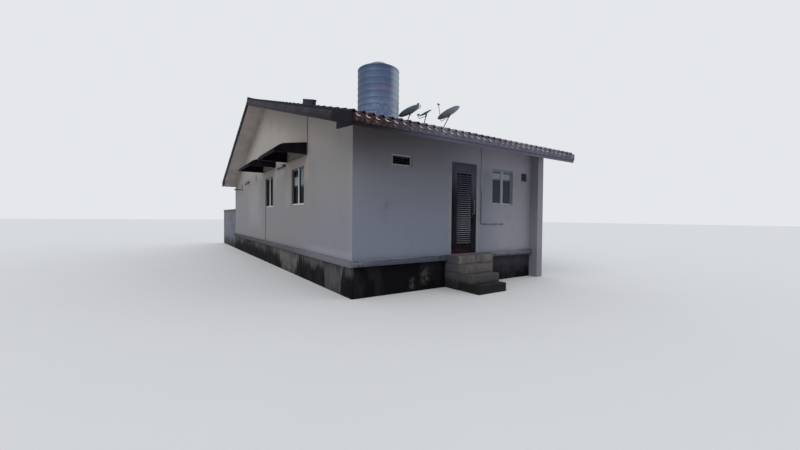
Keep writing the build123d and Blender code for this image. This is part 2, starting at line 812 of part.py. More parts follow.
# Grille: flat bars at a close pitch across two uprights
bar_height = 14.0
bar_depth = 10.0
bar_pitch = 50.0
upright_shares = (0.22, 0.76)
upright_width = 16.0
field_width = x_field[1] - x_field[0]
field_height = z_field[1] - z_field[0]
bar_count = int(field_height / bar_pitch) - 1
with BuildPart() as grille_bars:
    with BuildSketch(Plane.XZ.offset(-y_rear - panel_stand)):
        with Locations((sum(x_field) / 2, sum(z_field) / 2)):
            with GridLocations(0, field_height / (bar_count + 1), 1, bar_count):
                Rectangle(field_width, bar_height)
        for share in upright_shares:
            with Locations((x_field[0] + share * field_width, sum(z_field) / 2)):
                Rectangle(upright_width, field_height)
    extrude(amount=-bar_depth)
save(grille_bars.part, "grille_bars")

# Pull handle: a bent bar on the leaf's free stile
handle_from_edge = 52.0
handle_low = 950.0
handle_length = 340.0
handle_reach = 45.0
handle_radius = 9.0
handle_bend = 24.0
x_handle = x_leaf[1] - handle_from_edge
z_handle = (z_floor + handle_low, z_floor + handle_low + handle_length)
handle_points = [
    (x_handle, y_rear, z_handle[0]),
    (x_handle, y_rear - handle_reach, z_handle[0]),
    (x_handle, y_rear - handle_reach, z_handle[1]),
    (x_handle, y_rear, z_handle[1]),
]
save(tube(handle_points, handle_radius, handle_bend), "grille_handle")

# Front door: a panelled leaf in a plain frame
front_leaf_depth = 40.0
front_frame_face = 50.0
panel_margin = 110.0
panel_gap = 70.0
panel_recess = 8.0
door_plane = window_plane((sum(x_front_door) / 2, y_front, sum(z_front_door) / 2), (0, 1, 0))
leaf_width = front_door_width - 2 * front_frame_face
leaf_height = front_door_height - front_frame_face
with BuildPart() as front_door_frame:
    with BuildSketch(door_plane.offset(-frame_setback)):
        Rectangle(front_door_width, front_door_height)
        with Locations((0, -front_frame_face / 2)):
            Rectangle(leaf_width, leaf_height, mode=Mode.SUBTRACT)
    extrude(amount=-door_frame_depth)
save(front_door_frame.part, "front_door_frame")

with BuildPart() as front_door_leaf:
    leaf_face = door_plane.offset(-frame_setback - (door_frame_depth - front_leaf_depth) / 2)
    with BuildSketch(leaf_face):
        with Locations((0, -front_frame_face / 2)):
            Rectangle(leaf_width, leaf_height)
    extrude(amount=-front_leaf_depth)
    panel_width = (leaf_width - 2 * panel_margin - panel_gap) / 2
    panel_height = (leaf_height - 2 * panel_margin - 2 * panel_gap) / 3
    with BuildSketch(leaf_face):
        with Locations((0, -front_frame_face / 2)):
            with GridLocations(panel_width + panel_gap, panel_height + panel_gap, 2, 3):
                Rectangle(panel_width, panel_height)
    extrude(amount=-panel_recess, mode=Mode.SUBTRACT)
save(front_door_leaf.part, "front_door_leaf")

# Rear wall pipe: down from the eave, then level along the wall
pipe_radius = 12.0
pipe_seat = 0.3
pipe_from_door = 164.0
pipe_level = 700.0
pipe_reach = 840.0
pipe_bend = 40.0
x_pipe = x_door[1] + pipe_from_door
y_pipe = y_rear - pipe_radius - pipe_seat
pipe_points = [
    (x_pipe, y_pipe, roof_z(y_pipe - pipe_radius, under_soffit) - pipe_seat),
    (x_pipe, y_pipe, z_floor + pipe_level),
    (x_pipe + pipe_reach, y_pipe, z_floor + pipe_level),
]
save(tube(pipe_points, pipe_radius, pipe_bend), "rear_wall_pipe")

# Gable conduits: one at a hood's end, one under a window, and a short one past the second hood
conduit_radius = 9.0
hood_conduit_gap = 18.0
sill_conduit_side = 33.0
stub_from_rear = 8300.0
stub_foot = 2200.0
stub_length = 230.0
x_conduit = x_gable - conduit_radius - pipe_seat
y_hood_conduit = y_rear + hood_places[0] - hood_conduit_gap
y_sill_conduit = y_rear + gable_window_places[1] + gable_window_width - sill_conduit_side
z_soffit = roof_z(y_hood_conduit - conduit_radius, under_soffit)
z_stub = z_floor + stub_foot
conduits = (
    (y_hood_conduit, z_floor + hood_foot, z_soffit - pipe_seat),
    (y_sill_conduit, z_floor + pipe_seat, z_gable_window[0]),
    (y_rear + stub_from_rear, z_stub, z_stub + stub_length),
)
with BuildPart() as gable_conduits:
    for y_conduit, z_low, z_high in conduits:
        with BuildSketch(Plane.XY.offset(z_low)):
            with Locations((x_conduit, y_conduit)):
                Circle(conduit_radius)
        extrude(amount=z_high - z_low)
save(gable_conduits.part, "gable_conduits")

# Batten lamps on the gable wall, each with a thicker cap at its near end
lamp_places = ((4370.0, 2350.0), (9540.0, 2260.0))
lamp_length = 910.0
lamp_height = 55.0
lamp_reach = 60.0
lamp_cap = 110.0
lamp_cap_reach = 85.0
lamp_cap_height = 75.0
lamp_corner = 16.0
lamp_parts = ((lamp_length, lamp_reach, lamp_height), (lamp_cap, lamp_cap_reach, lamp_cap_height))
with BuildPart() as batten_lamps:
    for from_corner, height in lamp_places:
        for length, reach, tall in lamp_parts:
            with BuildSketch(Plane.YZ.offset(x_gable)):
                with Locations((y_rear + from_corner + length / 2, z_floor + height)):
                    RectangleRounded(length, tall, lamp_corner)
            extrude(amount=-reach)
save(batten_lamps.part, "batten_lamps")

# Wall bracket: a plate with an arm that stands out from the gable wall
bracket_from_corner = 11050.0
bracket_width = 190.0
bracket_foot = 2020.0
bracket_height = 250.0
bracket_plate = 10.0
bracket_arm = 350.0
bracket_bar = 40.0
with BuildPart() as wall_bracket:
    with BuildSketch(Plane.YZ.offset(x_gable)):
        with Locations((y_rear + bracket_from_corner, z_floor + bracket_foot)):
            Rectangle(bracket_width, bracket_height, align=(Align.MIN, Align.MIN))
    extrude(amount=-bracket_plate)
    with BuildSketch(Plane.YZ.offset(x_gable)):
        with Locations((y_rear + bracket_from_corner + bracket_width / 2, z_floor + bracket_foot)):
            Rectangle(bracket_bar, bracket_bar, align=(Align.CENTER, Align.MIN))
    extrude(amount=-bracket_arm)
save(wall_bracket.part, "wall_bracket")

# Dishes: three pressed reflectors on leaning masts, each with a feed on an arm
dish_from_rear = 1000.0
dish_sideways = Vector(0.611, -0.656, 0.444)
dish_sheet = 6.0
dish_depth_share = 0.085
mast_radius = 12.0
arm_radius = 8.0
arm_stand = 50.0
arm_bend = 30.0
boss_radius = 28.0
boss_length = 26.0
feed_radius = 24.0
feed_length = 60.0
base_size = 150.0
base_thickness = 8.0
socket_radius = 27.0
socket_height = 32.0
y_dishes = y_rear + dish_from_rear
roof_pitch = (ridge_height - eave_height) / (y_ridge - y_rear_eave)
roof_normal = Vector(0, -roof_pitch, 1).normalized()
# Each dish: rim centre from the gable and over the roof, diameter, mast foot, feed's reach and
# offset, the arm's turn round the rim, and the way the dish faces
dishes = (
    (2028.0, 309.0, 560.0, 1960.0, 40.0, 266.0, 0.0, (-0.347, 0.272, 0.898)),
    (2542.0, 350.0, 340.0, 2480.0, 45.0, -175.0, 180.0, (-0.445, 0.177, 0.878)),
    (3324.0, 494.0, 645.0, 3110.0, 330.0, -135.0, 139.0, (-0.325, 0.313, 0.892)),
)


def bar_between(start, end, radius):
    """A round bar between two points."""
    with BuildPart() as piece:
        with BuildSketch(Plane(origin=start, z_dir=end - start)):
            Circle(radius)
        extrude(amount=(end - start).length)
    return piece.part


dish_mounts = []
for number, dish in enumerate(dishes, start=1):
    from_gable, height, diameter, foot, reach, offset, arm_turn, faces = dish
    dish_facing = Vector(*faces).normalized()
    dish_side = (dish_sideways - dish_facing * dish_sideways.dot(dish_facing)).normalized()
    rim_centre = Vector(x_gable + from_gable, y_dishes, roof_z(y_dishes) + height)
    dish_depth = diameter * dish_depth_share
    rim = diameter / 2
    lip = rim - dish_sheet
    z_middle = cap_height(rim, dish_depth, rim / 2)
    z_lip = dish_sheet - cap_height(rim, dish_depth, lip)
    dish_plane = Plane(origin=rim_centre, x_dir=dish_side, z_dir=dish_side.cross(dish_facing))
    with BuildPart() as reflector:
        with BuildSketch(dish_plane):
            with BuildLine():
                ThreePointArc((0, -dish_depth), (rim / 2, -z_middle), (rim, 0))
                Line((rim, 0), (lip, z_lip))
                ThreePointArc((lip, z_lip), (rim / 2, dish_sheet - z_middle), (0, dish_sheet - dish_depth))
                Line((0, dish_sheet - dish_depth), (0, -dish_depth))
            make_face()
        revolve(axis=Axis(rim_centre, dish_facing))
    save(reflector.part, f"dish_{number}")
    back = rim_centre - dish_facing * dish_depth
    boss_foot = back - dish_facing * boss_length
    foot_point = Vector(x_gable + foot, y_dishes, roof_z(y_dishes))
    mast_way = (boss_foot - foot_point).normalized()
    feed_point = rim_centre + dish_facing * reach + dish_side * offset
    rim_way = dish_side.rotate(Axis((0, 0, 0), dish_facing), arm_turn)
    arm_root = boss_foot - mast_way * boss_length
    arm_corner = rim_centre + rim_way * (rim + arm_stand) - dish_facing * arm_stand
    with BuildPart() as mount:
        with BuildSketch(Plane(origin=foot_point, x_dir=(1, 0, 0), z_dir=roof_normal)):
            Rectangle(base_size, base_size)
        extrude(amount=base_thickness)
        add(bar_between(foot_point, foot_point + roof_normal * socket_height, socket_radius))
        mast_ends = (foot_point + mast_way * mast_radius, boss_foot + dish_facing * mast_radius / 2)
        add(bar_between(*mast_ends, mast_radius))
        add(bar_between(boss_foot, back, boss_radius))
        add(tube([arm_root, arm_corner, feed_point], arm_radius, arm_bend))
        half_feed = (back - feed_point).normalized() * feed_length / 2
        add(bar_between(feed_point - half_feed, feed_point + half_feed, feed_radius))
    dish_mounts += mount.part.solids()
save(Compound(dish_mounts), "dish_mounts")
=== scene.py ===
import json
import math
import random

import bmesh
import bpy
from mathutils import Matrix, Vector, noise


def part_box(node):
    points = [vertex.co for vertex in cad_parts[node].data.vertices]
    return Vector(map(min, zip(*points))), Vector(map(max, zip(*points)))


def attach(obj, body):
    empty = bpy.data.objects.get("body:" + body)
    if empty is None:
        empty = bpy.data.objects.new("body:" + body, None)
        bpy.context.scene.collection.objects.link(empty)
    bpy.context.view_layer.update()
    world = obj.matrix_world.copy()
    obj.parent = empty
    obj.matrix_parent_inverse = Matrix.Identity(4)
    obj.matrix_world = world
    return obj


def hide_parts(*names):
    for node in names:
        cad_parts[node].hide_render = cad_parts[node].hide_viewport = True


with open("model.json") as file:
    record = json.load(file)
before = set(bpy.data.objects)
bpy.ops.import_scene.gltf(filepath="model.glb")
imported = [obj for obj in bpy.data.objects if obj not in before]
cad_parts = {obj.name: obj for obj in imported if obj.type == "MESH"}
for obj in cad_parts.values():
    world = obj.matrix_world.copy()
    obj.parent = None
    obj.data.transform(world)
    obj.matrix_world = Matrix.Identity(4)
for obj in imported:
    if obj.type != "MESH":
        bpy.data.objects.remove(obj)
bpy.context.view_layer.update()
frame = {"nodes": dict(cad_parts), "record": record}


# ---- Plinth
# Brick sides round rammed fill, rendered with cement and never painted. Damp has turned it black
# from the ground up, in long drips; one stretch near the rear corner has been scrubbed.


def tone(red, green, blue):
    """A colour from its screen values, each from 0 to 255."""
    return tuple(((value / 255 + 0.055) / 1.055) ** 2.4 for value in (red, green, blue))


class Amount:
    """A number that changes over a surface; * keeps what both have, | takes the larger."""

    def __init__(self, finish, socket):
        self.finish, self.socket = finish, socket

    def __add__(self, other):
        return self.finish.sum_up("ADD", self, other)

    def __sub__(self, other):
        return self.finish.sum_up("SUBTRACT", self, other)

    def __mul__(self, other):
        return self.finish.sum_up("MULTIPLY", self, other)

    def __or__(self, other):
        return self.finish.sum_up("MAXIMUM", self, other)

    def away(self, centre):
        """How far it lies from a centre, on either side."""
        gap = self - centre
        return gap | gap * -1.0

    def band(self, low, high):
        """Rises softly from 0 to 1 as the amount goes from low to high."""
        inputs = {"Value": self, "From Min": min(low, high), "From Max": max(low, high)}
        if low > high:
            inputs.update({"To Min": 1.0, "To Max": 0.0})
        node = self.finish.add("MapRange", inputs, interpolation_type="SMOOTHSTEP")
        return Amount(self.finish, node.outputs["Result"])

    def near(self, centre, outer, inner):
        """0 at an outer distance from a centre and beyond, 1 from an inner distance on."""
        return self.away(centre).band(outer, inner)


class Finish:
    """A surface finish, made of nodes on the piece's own coordinates in metres."""

    def __init__(self, name, roughness=0.8, metal=0.0, gloss=0.5):
        self.material = bpy.data.materials.new(name)
        self.material.use_nodes = True
        self.tree = self.material.node_tree
        self.shader = self.tree.nodes["Principled BSDF"]
        self.feed(self.shader, {"Roughness": roughness, "Metallic": metal, "Specular IOR Level": gloss})
        self.place = self.add("TexCoord").outputs["Object"]
        self.x, self.y, self.z = self.parts(self.place)

    def feed(self, node, inputs):
        """Set a node's inputs, or lead other nodes' outputs into them."""
        for key, value in inputs.items():
            socket = node.inputs[key]
            value = value.socket if isinstance(value, Amount) else value
            if isinstance(value, bpy.types.NodeSocket):
                self.tree.links.new(value, socket)
            elif socket.type == "RGBA":
                socket.default_value = (*tone(*value), 1.0)
            else:
                socket.default_value = value

    def add(self, kind, inputs=None, **settings):
        """Add a node with its settings and inputs."""
        node = self.tree.nodes.new("ShaderNode" + kind)
        for name, value in settings.items():
            setattr(node, name, value)
        self.feed(node, inputs or {})
        return node

    def parts(self, vector):
        """The three amounts of a vector."""
        return [Amount(self, part) for part in self.add("SeparateXYZ", {0: vector}).outputs]

    def sum_up(self, step, one, two):
        """Arithmetic on two amounts."""
        return Amount(self, self.add("Math", {0: one, 1: two}, operation=step).outputs[0])

    def stretched(self, size, stretch=(1, 1, 1)):
        """Object coordinates whose unit is a size in metres, longer on some axes."""
        scale = [1.0 / (size * length) for length in stretch]
        return self.add("Mapping", {"Vector": self.place, "Scale": scale}).outputs[0]

    def cloud(self, size, detail=4, rough=0.55, stretch=(1, 1, 1), warp=0.0):
        """A cloudy pattern from 0 to 1, with patches of about a size in metres."""
        inputs = {"Vector": self.stretched(size, stretch), "Scale": 1.0}
        inputs.update({"Detail": detail, "Roughness": rough, "Distortion": warp})
        return Amount(self, self.add("TexNoise", inputs).outputs["Fac"])

    def cracks(self, size, width):
        """Thin lines between cells of about a size in metres."""
        bend = self.add("TexNoise", {"Vector": self.stretched(size * 0.5), "Scale": 1.0})
        inputs = {0: bend.outputs["Color"], 1: (0.35, 0.35, 0.35), 2: self.stretched(size)}
        bent = self.add("VectorMath", inputs, operation="MULTIPLY_ADD").outputs[0]
        cells = self.add("TexVoronoi", {"Vector": bent, "Scale": 1.0}, feature="DISTANCE_TO_EDGE")
        return Amount(self, cells.outputs["Distance"]).band(width / size, 0.0)

    def lay(self, share, under, over):
        """One colour over another, as far as a share from 0 to 1 says."""
        return self.add("Mix", {0: share, 6: under, 7: over}, data_type="RGBA").outputs[2]

    def blend(self, share, low, high):
        """Begin the coat with one colour going over into another."""
        self.colour = self.lay(share, low, high)

    def over(self, share, colour):
        """Lay a colour over the coat so far."""
        self.colour = self.lay(share, self.colour, colour)

    def coat(self, relief=None, depth=0.002, roughness=None):
        """Give the shader its coat, a relief of a depth in metres, and a roughness."""
        self.feed(self.shader, {"Base Color": self.colour})
        if roughness is not None:
            self.feed(self.shader, {"Roughness": roughness})
        if relief is not None:
            bump = self.add("Bump", {"Distance": depth, "Height": relief})
            self.feed(self.shader, {"Normal": bump.outputs[0]})
        return self

    def mottled(self, pattern, low, high, dark, light, depth):
        """A coat of two colours that follow a pattern, which is its relief as well."""
        self.blend(pattern.band(low, high), dark, light)
        return self.coat(pattern, depth)


def dress(finish, *nodes):
    """Give CAD nodes that stay in view their finish."""
    for node in nodes:
        for place in frame["nodes"][node].material_slots:
            place.material = finish.material


f = plinth_cement = Finish("plinth_cement", roughness=0.92, gloss=0.1)
drips = f.cloud(0.045, detail=5, rough=0.6, stretch=(1, 1, 8))
patches = f.cloud(0.3, stretch=(1, 1, 1.6))
rear_side = f.y.band(-6.4, -6.474)
gable_side = f.x.band(-2.8, -2.86)
scrubbed = f.y.near(-5.545, 0.5, 0.36) * gable_side
level = f.z - drips * 0.42 - patches * 0.7
level = level - rear_side * 0.4 + scrubbed * 0.55
washed = (f.y.away(-2.35) + drips * 1.3).band(1.65, 1.1)
washed = washed * gable_side
level = level + washed * 0.5
mould = level.band(0.16, -0.26)
fine = f.cloud(0.012, detail=6, rough=0.7)
f.blend(patches.band(0.35, 0.65), (92, 90, 86), (116, 114, 112))
hanging = drips.band(0.46, 0.6) * f.cloud(0.5, detail=3).band(0.34, 0.56)
f.over(hanging * 0.85, (33, 32, 32))
f.over(washed * 0.55 * drips.band(0.62, 0.44), (70, 68, 71))
f.over(scrubbed * 0.75, (58, 56, 60))
shaded = f.y.near(0.05, 0.8, 0.4) | f.y.near(3.15, 1.2, 0.7)
shaded = shaded * gable_side
f.over(shaded * 0.75 * drips.band(0.34, 0.56), (27, 26, 28))
near_corner = f.y.band(-6.12, -6.22) * gable_side
black = f.lay(patches.band(0.44, 0.66), (9, 9, 12), (26, 26, 29))
f.over(mould, black)
by_height = f.lay((f.z + drips * 0.2).band(0.44, 0.64), (9, 9, 14), (72, 72, 80))
f.over(near_corner * 0.8, by_height)
soft = f.cloud(0.1)
rubbed = f.x.near(-1.07, 0.17, 0.05) * f.z.near(0.32, 0.24, 0.08)
rubbed = rubbed | f.x.near(-1.42, 0.1, 0.03) * f.z.near(0.18, 0.16, 0.06)
rubbed = rear_side * rubbed * soft.band(0.4, 0.56)
f.over(rubbed * 0.6, (76, 75, 70))
behind = rear_side * f.x.band(0.7, 1.2) * (f.z + soft * 0.5).band(0.3, 0.8)
f.over(behind * 0.55, (66, 63, 73))
f.coat(fine * 0.35 + f.cloud(0.09, detail=5) * 0.65, depth=0.012)
dress(plinth_cement, "plinth")


# ---- Floor slab
# Reinforced concrete, cast over the fill with its edge 90 mm proud of the plinth at the side and
# the rear. The edge drips, so its underside and arris are stained dark.

f = slab_cement = Finish("slab_cement", roughness=0.85, gloss=0.25)
patches = f.cloud(0.45, detail=5)
streaks = f.cloud(0.05, stretch=(1, 1, 6))
f.blend(patches.band(0.35, 0.65), (86, 88, 98), (106, 108, 116))
# Painted light: the slab's top is made lighter than its edge faces.
on_top = f.z.band(0.7485, 0.7495)
f.over(on_top * 0.8, (124, 126, 136))
edge_dirt = f.z.band(0.71, 0.63) * (streaks + patches * 0.6).band(0.5, 0.9)
f.over(edge_dirt * 0.9, (34, 33, 34))
outer = f.y.band(-6.538, -6.552) | f.x.band(-2.928, -2.942)
arris = f.z.band(0.722, 0.74) * f.cloud(0.2, stretch=(3, 3, 1)).band(0.48, 0.58)
f.over(arris * outer * 0.8, (36, 37, 48))
in_front = f.y.band(-6.561, -6.564) * f.x.band(-2.75, -2.2)
f.over(in_front * f.x.band(0.4, 0.2) * 0.8, (62, 65, 80))
at_side = f.x.band(-2.87, -2.885)
along = f.lay(f.y.band(-5.2, -2.5), (100, 99, 106), (70, 69, 72))
along = f.lay(f.y.band(-1.5, 1.5), along, (54, 53, 54))
along = f.lay(streaks.band(0.48, 0.64) * 0.35, along, (112, 110, 113))
f.over(at_side * 0.85, along)
blotch = f.cloud(0.3, detail=5, rough=0.6).band(0.56, 0.64) * f.x.band(-1.9, -1.2)
f.over(blotch * outer * 0.7, (48, 46, 50))
f.over(f.cracks(0.9, 0.004) * 0.6, (46, 44, 42))
f.coat(f.cloud(0.008, detail=5) * 0.4 + f.cloud(0.1) * 0.6, depth=0.005)
dress(slab_cement, "floor_slab")


# ---- Rear steps
# Four blocks of site-cast concrete with struck edges, set one against the next before the door.
# Feet have rounded their noses and the rain has streaked their risers.

slot_of = {part["node"]: part["material_slot"] for part in frame["record"]["subparts"]}


def round_edges(shape, edges, width, rounds=2):
    """Round some edges of a bmesh to a width."""
    bmesh.ops.bevel(
        shape, geom=edges, offset=width, offset_type="OFFSET", segments=rounds,
        profile=0.5, affect="EDGES", clamp_overlap=True, material=-1,
    )


def merged_copy(node):
    """A copy of a CAD node's mesh with its loose triangles joined."""
    shape = bmesh.new()
    shape.from_mesh(frame["nodes"][node].data)
    bmesh.ops.remove_doubles(shape, verts=shape.verts, dist=0.00002)
    return shape


def eased_copy(node, width, rounds=2, sharp=0.5):
    """A merged copy of a CAD node with its sharp edges rounded to a width."""
    shape = merged_copy(node)
    bmesh.ops.dissolve_limit(shape, angle_limit=0.01, verts=shape.verts, edges=shape.edges)
    edges = [edge for edge in shape.edges if edge.calc_face_angle(0.0) > sharp]
    round_edges(shape, edges, width, rounds)
    return shape


def face_out(shape):
    """Turn a closed shape's faces outwards."""
    bmesh.ops.recalc_face_normals(shape, faces=shape.faces)


def put_in(name, data):
    """Put an object of a mesh, light or camera into the scene."""
    item = bpy.data.objects.new(name, data)
    bpy.context.scene.collection.objects.link(item)
    return item


def make_object(name, shape, finish):
    """Make a bmesh an object in the scene, with its finish."""
    mesh = bpy.data.meshes.new(name)
    shape.to_mesh(mesh)
    shape.free()
    mesh.materials.append(finish.material)
    return put_in(name, mesh)


def set_piece(name, shape, finish, stands_for=(), slot=None, body="house", smooth=0.6, turn_out=False):
    """Make a bmesh a finished piece that rides on a body and stands for its CAD nodes."""
    if turn_out:
        face_out(shape)
    piece = make_object(name, shape, finish)
    if smooth:
        piece.data.shade_smooth()
        piece.data.set_sharp_from_angle(angle=smooth)
    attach(piece, body)
    if stands_for:
        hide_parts(*stands_for)
    return piece


def roughen(shape, size, depth, above=0.01):
    """Move points in and out by a smooth random depth, except those on the ground."""
    shape.normal_update()
    for point in shape.verts:
        if point.co.z > above:
            point.co += point.normal * depth * noise.noise(point.co / size)


f = step_concrete = Finish("cast_step_concrete", roughness=0.88, gloss=0.2)
patches = f.cloud(0.16, detail=6, rough=0.65)
fine = f.cloud(0.01, detail=6, rough=0.7)
f.blend(patches.band(0.3, 0.7), (80, 76, 75), (104, 99, 97))
f.over(f.cloud(0.05, detail=5, stretch=(1, 1, 5)).band(0.54, 0.7) * 0.35, (50, 48, 46))
# Painted shade: the lower steps are darker one by one, the lowest near black.
f.over(f.z.band(0.566, 0.56) * 0.45, (74, 71, 72))
f.over(f.z.band(0.379, 0.373) * 0.75, (60, 59, 60))
f.over(f.z.band(0.19, 0.186) * 0.97, (15, 15, 16))
shady = f.x.band(-0.474, -0.482)
f.over(shady * 0.75, (65, 63, 72))
foot = (f.z - patches * 0.3).band(0.16, -0.06)
f.over(foot * 0.85, (27, 26, 27))
# Painted shade: a dark band in the crease at the foot of each riser.
riser_foot_shade = f.sum_up("MODULO", f.z - 0.004, 0.1875)
f.over(riser_foot_shade.band(0.026, 0.01) * 0.6, (32, 30, 31))
f.over(f.cracks(0.5, 0.003) * 0.5, (50, 47, 44))
pits = f.cloud(0.018, detail=2).band(0.34, 0.26)
f.coat(fine * 0.4 + patches * 0.5 - pits * 0.5, depth=0.006)

step_round = 0.012
for number in range(1, 5):
    block = eased_copy(f"rear_step_{number}", step_round, rounds=3)
    long_edges = [edge for edge in block.edges if edge.calc_length() > 0.12]
    bmesh.ops.subdivide_edges(block, edges=long_edges, cuts=7, use_grid_fill=True)
    roughen(block, 0.14, 0.003)
    set_piece(f"cast_step_{number}", block, step_concrete, [f"rear_step_{number}"])


# ---- Walls
# Brick walls, rendered both sides with cement and lime and painted off-white. The paint has greyed,
# cooler near the ledge and browner under the eaves, with faint runs, a corner strip and hair cracks.
# The brown under the rear eave is dirt with painted shade in it. Painted light brightens the rear
# wall's top towards the right and the gable under the hoods, with painted hood shadow just below them.

f = wall_paint = Finish("wall_paint", roughness=0.86)
wide = f.cloud(1.9, detail=3, stretch=(1, 1, 0.7))
patches = f.cloud(0.5, detail=5)
runs = f.cloud(0.1, stretch=(1, 1, 16))
gable_side = f.x.band(-2.86, -2.864)
f.blend((f.z + wide * 1.2).band(1.4, 3.3), (118, 119, 128), (125, 122, 121))
under_verge = (f.z + wide * 0.4).band(2.9, 4.1)
f.over(under_verge * 0.8, (162, 154, 146))
rear_side = f.y.band(-6.3, -6.474) * (f.x.band(-2.864, -2.86) * f.x.band(2.864, 2.86))
rear_paint = f.lay(f.z.band(1.2, 2.7), (110, 114, 127), (113, 114, 122))
rear_paint = f.lay(f.x.band(0.5, 1.6), rear_paint, (131, 131, 138))
# Browner under the eave towards the left: eave dirt with painted shade in it.
eave_dirt_and_shade = (f.z + wide * 0.7).band(2.75, 3.6) * f.x.band(-0.2, -2.3)
rear_paint = f.lay(eave_dirt_and_shade * 0.75, rear_paint, (78, 70, 67))
# Painted light: the top of the rear wall is lighter towards the right, under the eave.
rear_paint = f.lay(f.z.band(2.6, 3.0) * f.x.band(-0.8, 1.4), rear_paint, (150, 147, 160))
fin = f.y.band(-6.478, -6.484) * f.x.band(2.6, 2.63)
rear_paint = f.lay(fin, rear_paint, (124, 124, 130))
f.over(rear_side, rear_paint)
f.over(patches.band(0.55, 0.75) * 0.22, (98, 96, 98))
streaky = runs.band(0.54, 0.7) * f.cloud(0.8, detail=3).band(0.5, 0.66)
f.over(streaky * 0.2, (88, 87, 90))
near_end = f.y.band(-3.2, -4.6) * gable_side
splash = (f.z - patches * 0.22).band(0.74, 0.62) * near_end.band(1.0, 0.0)
f.over(splash * 0.25, (84, 86, 95))
f.over(near_end * f.z.band(0.98, 0.8) * 0.55, (140, 139, 150))
far_end = f.y.band(-4.6, -2.6) * (f.z.band(2.1, 1.3) * gable_side)
f.over(far_end * 0.6, (123, 120, 118))
# Lighter patches on the gable: about the middle of the wall, and between the windows.
lighter_patches = (f.y.away(2.1) + patches * 1.6).band(2.5, 1.2) * f.z.near(1.95, 1.0, 0.4)
lighter_patches = lighter_patches | f.y.near(-2.28, 0.4, 0.1) * f.z.near(2.3, 0.62, 0.22)
f.over(lighter_patches * gable_side * 0.45, (144, 143, 145))
damp = f.x.near(-2.06, 0.14, 0.02) * f.z.near(1.73, 0.36, 0.05)
damp = damp * (rear_side * f.cloud(0.14, detail=5).band(0.38, 0.6))
f.over(damp * 0.55, (80, 84, 98))
made_good = f.x.near(0.1025, 0.49, 0.48) * f.z.band(2.98, 2.95)
made_good = made_good * rear_side * f.cloud(0.1).band(0.3, 0.5)
f.over(made_good * f.z.band(2.72, 2.55) * 0.8, (124, 126, 122))
near_hood = f.y.near(-3.094, 1.05, 0.7)
far_hood = f.y.near(-0.149, 1.05, 0.7)
# Painted light: the wall under the hoods is made lighter and warmer.
painted_light_under_hoods = (near_hood | far_hood) * (f.z.band(2.25, 3.0) * f.z.band(3.48, 3.3))
f.over(painted_light_under_hoods * 0.8 * gable_side, (164, 152, 144))
# Painted shade: the top of that area, just under the hoods, is darker.
painted_hood_shadow = painted_light_under_hoods * f.z.band(3.02, 3.22) * gable_side
f.over(painted_hood_shadow * 0.6, (104, 98, 96))
corner = f.y.band(-6.325, -6.333) * f.x.band(-2.855, -2.862)
f.over(corner * 0.12, (146, 145, 144))
hair = f.cracks(1.3, 0.0035) * f.cloud(1.1, detail=2).band(0.5, 0.6)
f.over(hair * 0.35, (82, 80, 80))
trowel = f.cloud(0.3, detail=3, stretch=(1.6, 1.6, 0.8), warp=0.8)
f.coat(f.cloud(0.006) * 0.16 + (trowel - hair * 0.2), depth=0.005)
dress(
    wall_paint, "rear_wall_left", "rear_wall_right", "rear_wall_over_door", "front_wall",
    "gable_wall", "party_wall",
)


# ---- Yard side wall
# A half-brick wall with a cement coping, rendered and painted like the house, in line with its
# gable. Nobody repaints it, so mould climbs from the ground and hangs under the coping.


def eased_piece(name, node, width, finish, sharp=0.5, **more):
    """A rounded copy of a CAD node as the finished piece that stands for it."""
    return set_piece(name, eased_copy(node, width, sharp=sharp), finish, [node], **more)


f = yard_paint = Finish("yard_wall_paint", roughness=0.9)
patches = f.cloud(0.55, detail=5)
drips = f.cloud(0.07, detail=5, stretch=(1, 1, 9))
f.blend(patches.band(0.35, 0.65), (84, 90, 103), (104, 106, 114))
climb = f.z - drips * 1.1 - patches * 0.5
f.over(climb.band(-0.2, -0.62), (26, 26, 29))
hang = (f.z + drips * 0.9).band(2.16, 2.36) * f.z.band(1.892, 1.888)
f.over(hang * 0.7, (48, 47, 48))
coping = f.z.band(1.889, 1.891)
coping_cement = f.lay(patches.band(0.4, 0.6), (58, 58, 60), (104, 104, 104))
f.over(coping, coping_cement)
f.coat(f.cloud(0.008) * 0.3 + f.cloud(0.12), depth=0.006)
eased_piece("yard_wall_coped", "yard_side_wall", 0.008, yard_paint)


# ---- Roof timber
# Sawn rafters from the eaves to the ridge board, and the two joists and deck that carry the tank.
# All of it is plain hardwood, nailed, brown with age and never painted.

f = sawn_wood = Finish("sawn_wood", roughness=0.78)
grain = f.cloud(0.01, detail=5, rough=0.6, stretch=(9, 22, 9), warp=0.4)
f.blend(grain.band(0.34, 0.66), (74, 58, 46), (108, 88, 70))
f.over(f.cloud(0.4, detail=3).band(0.5, 0.68) * 0.5, (84, 66, 50))
f.coat(grain, depth=0.0015)
dress(sawn_wood, "rafters", "ridge_board", "tank_platform")


# ---- Soffits
# Flat cement sheets nailed under the rafters, along the verge and both eaves, painted once.
# They are butt-jointed about every 1.2 m, and damp has browned them near the walls.

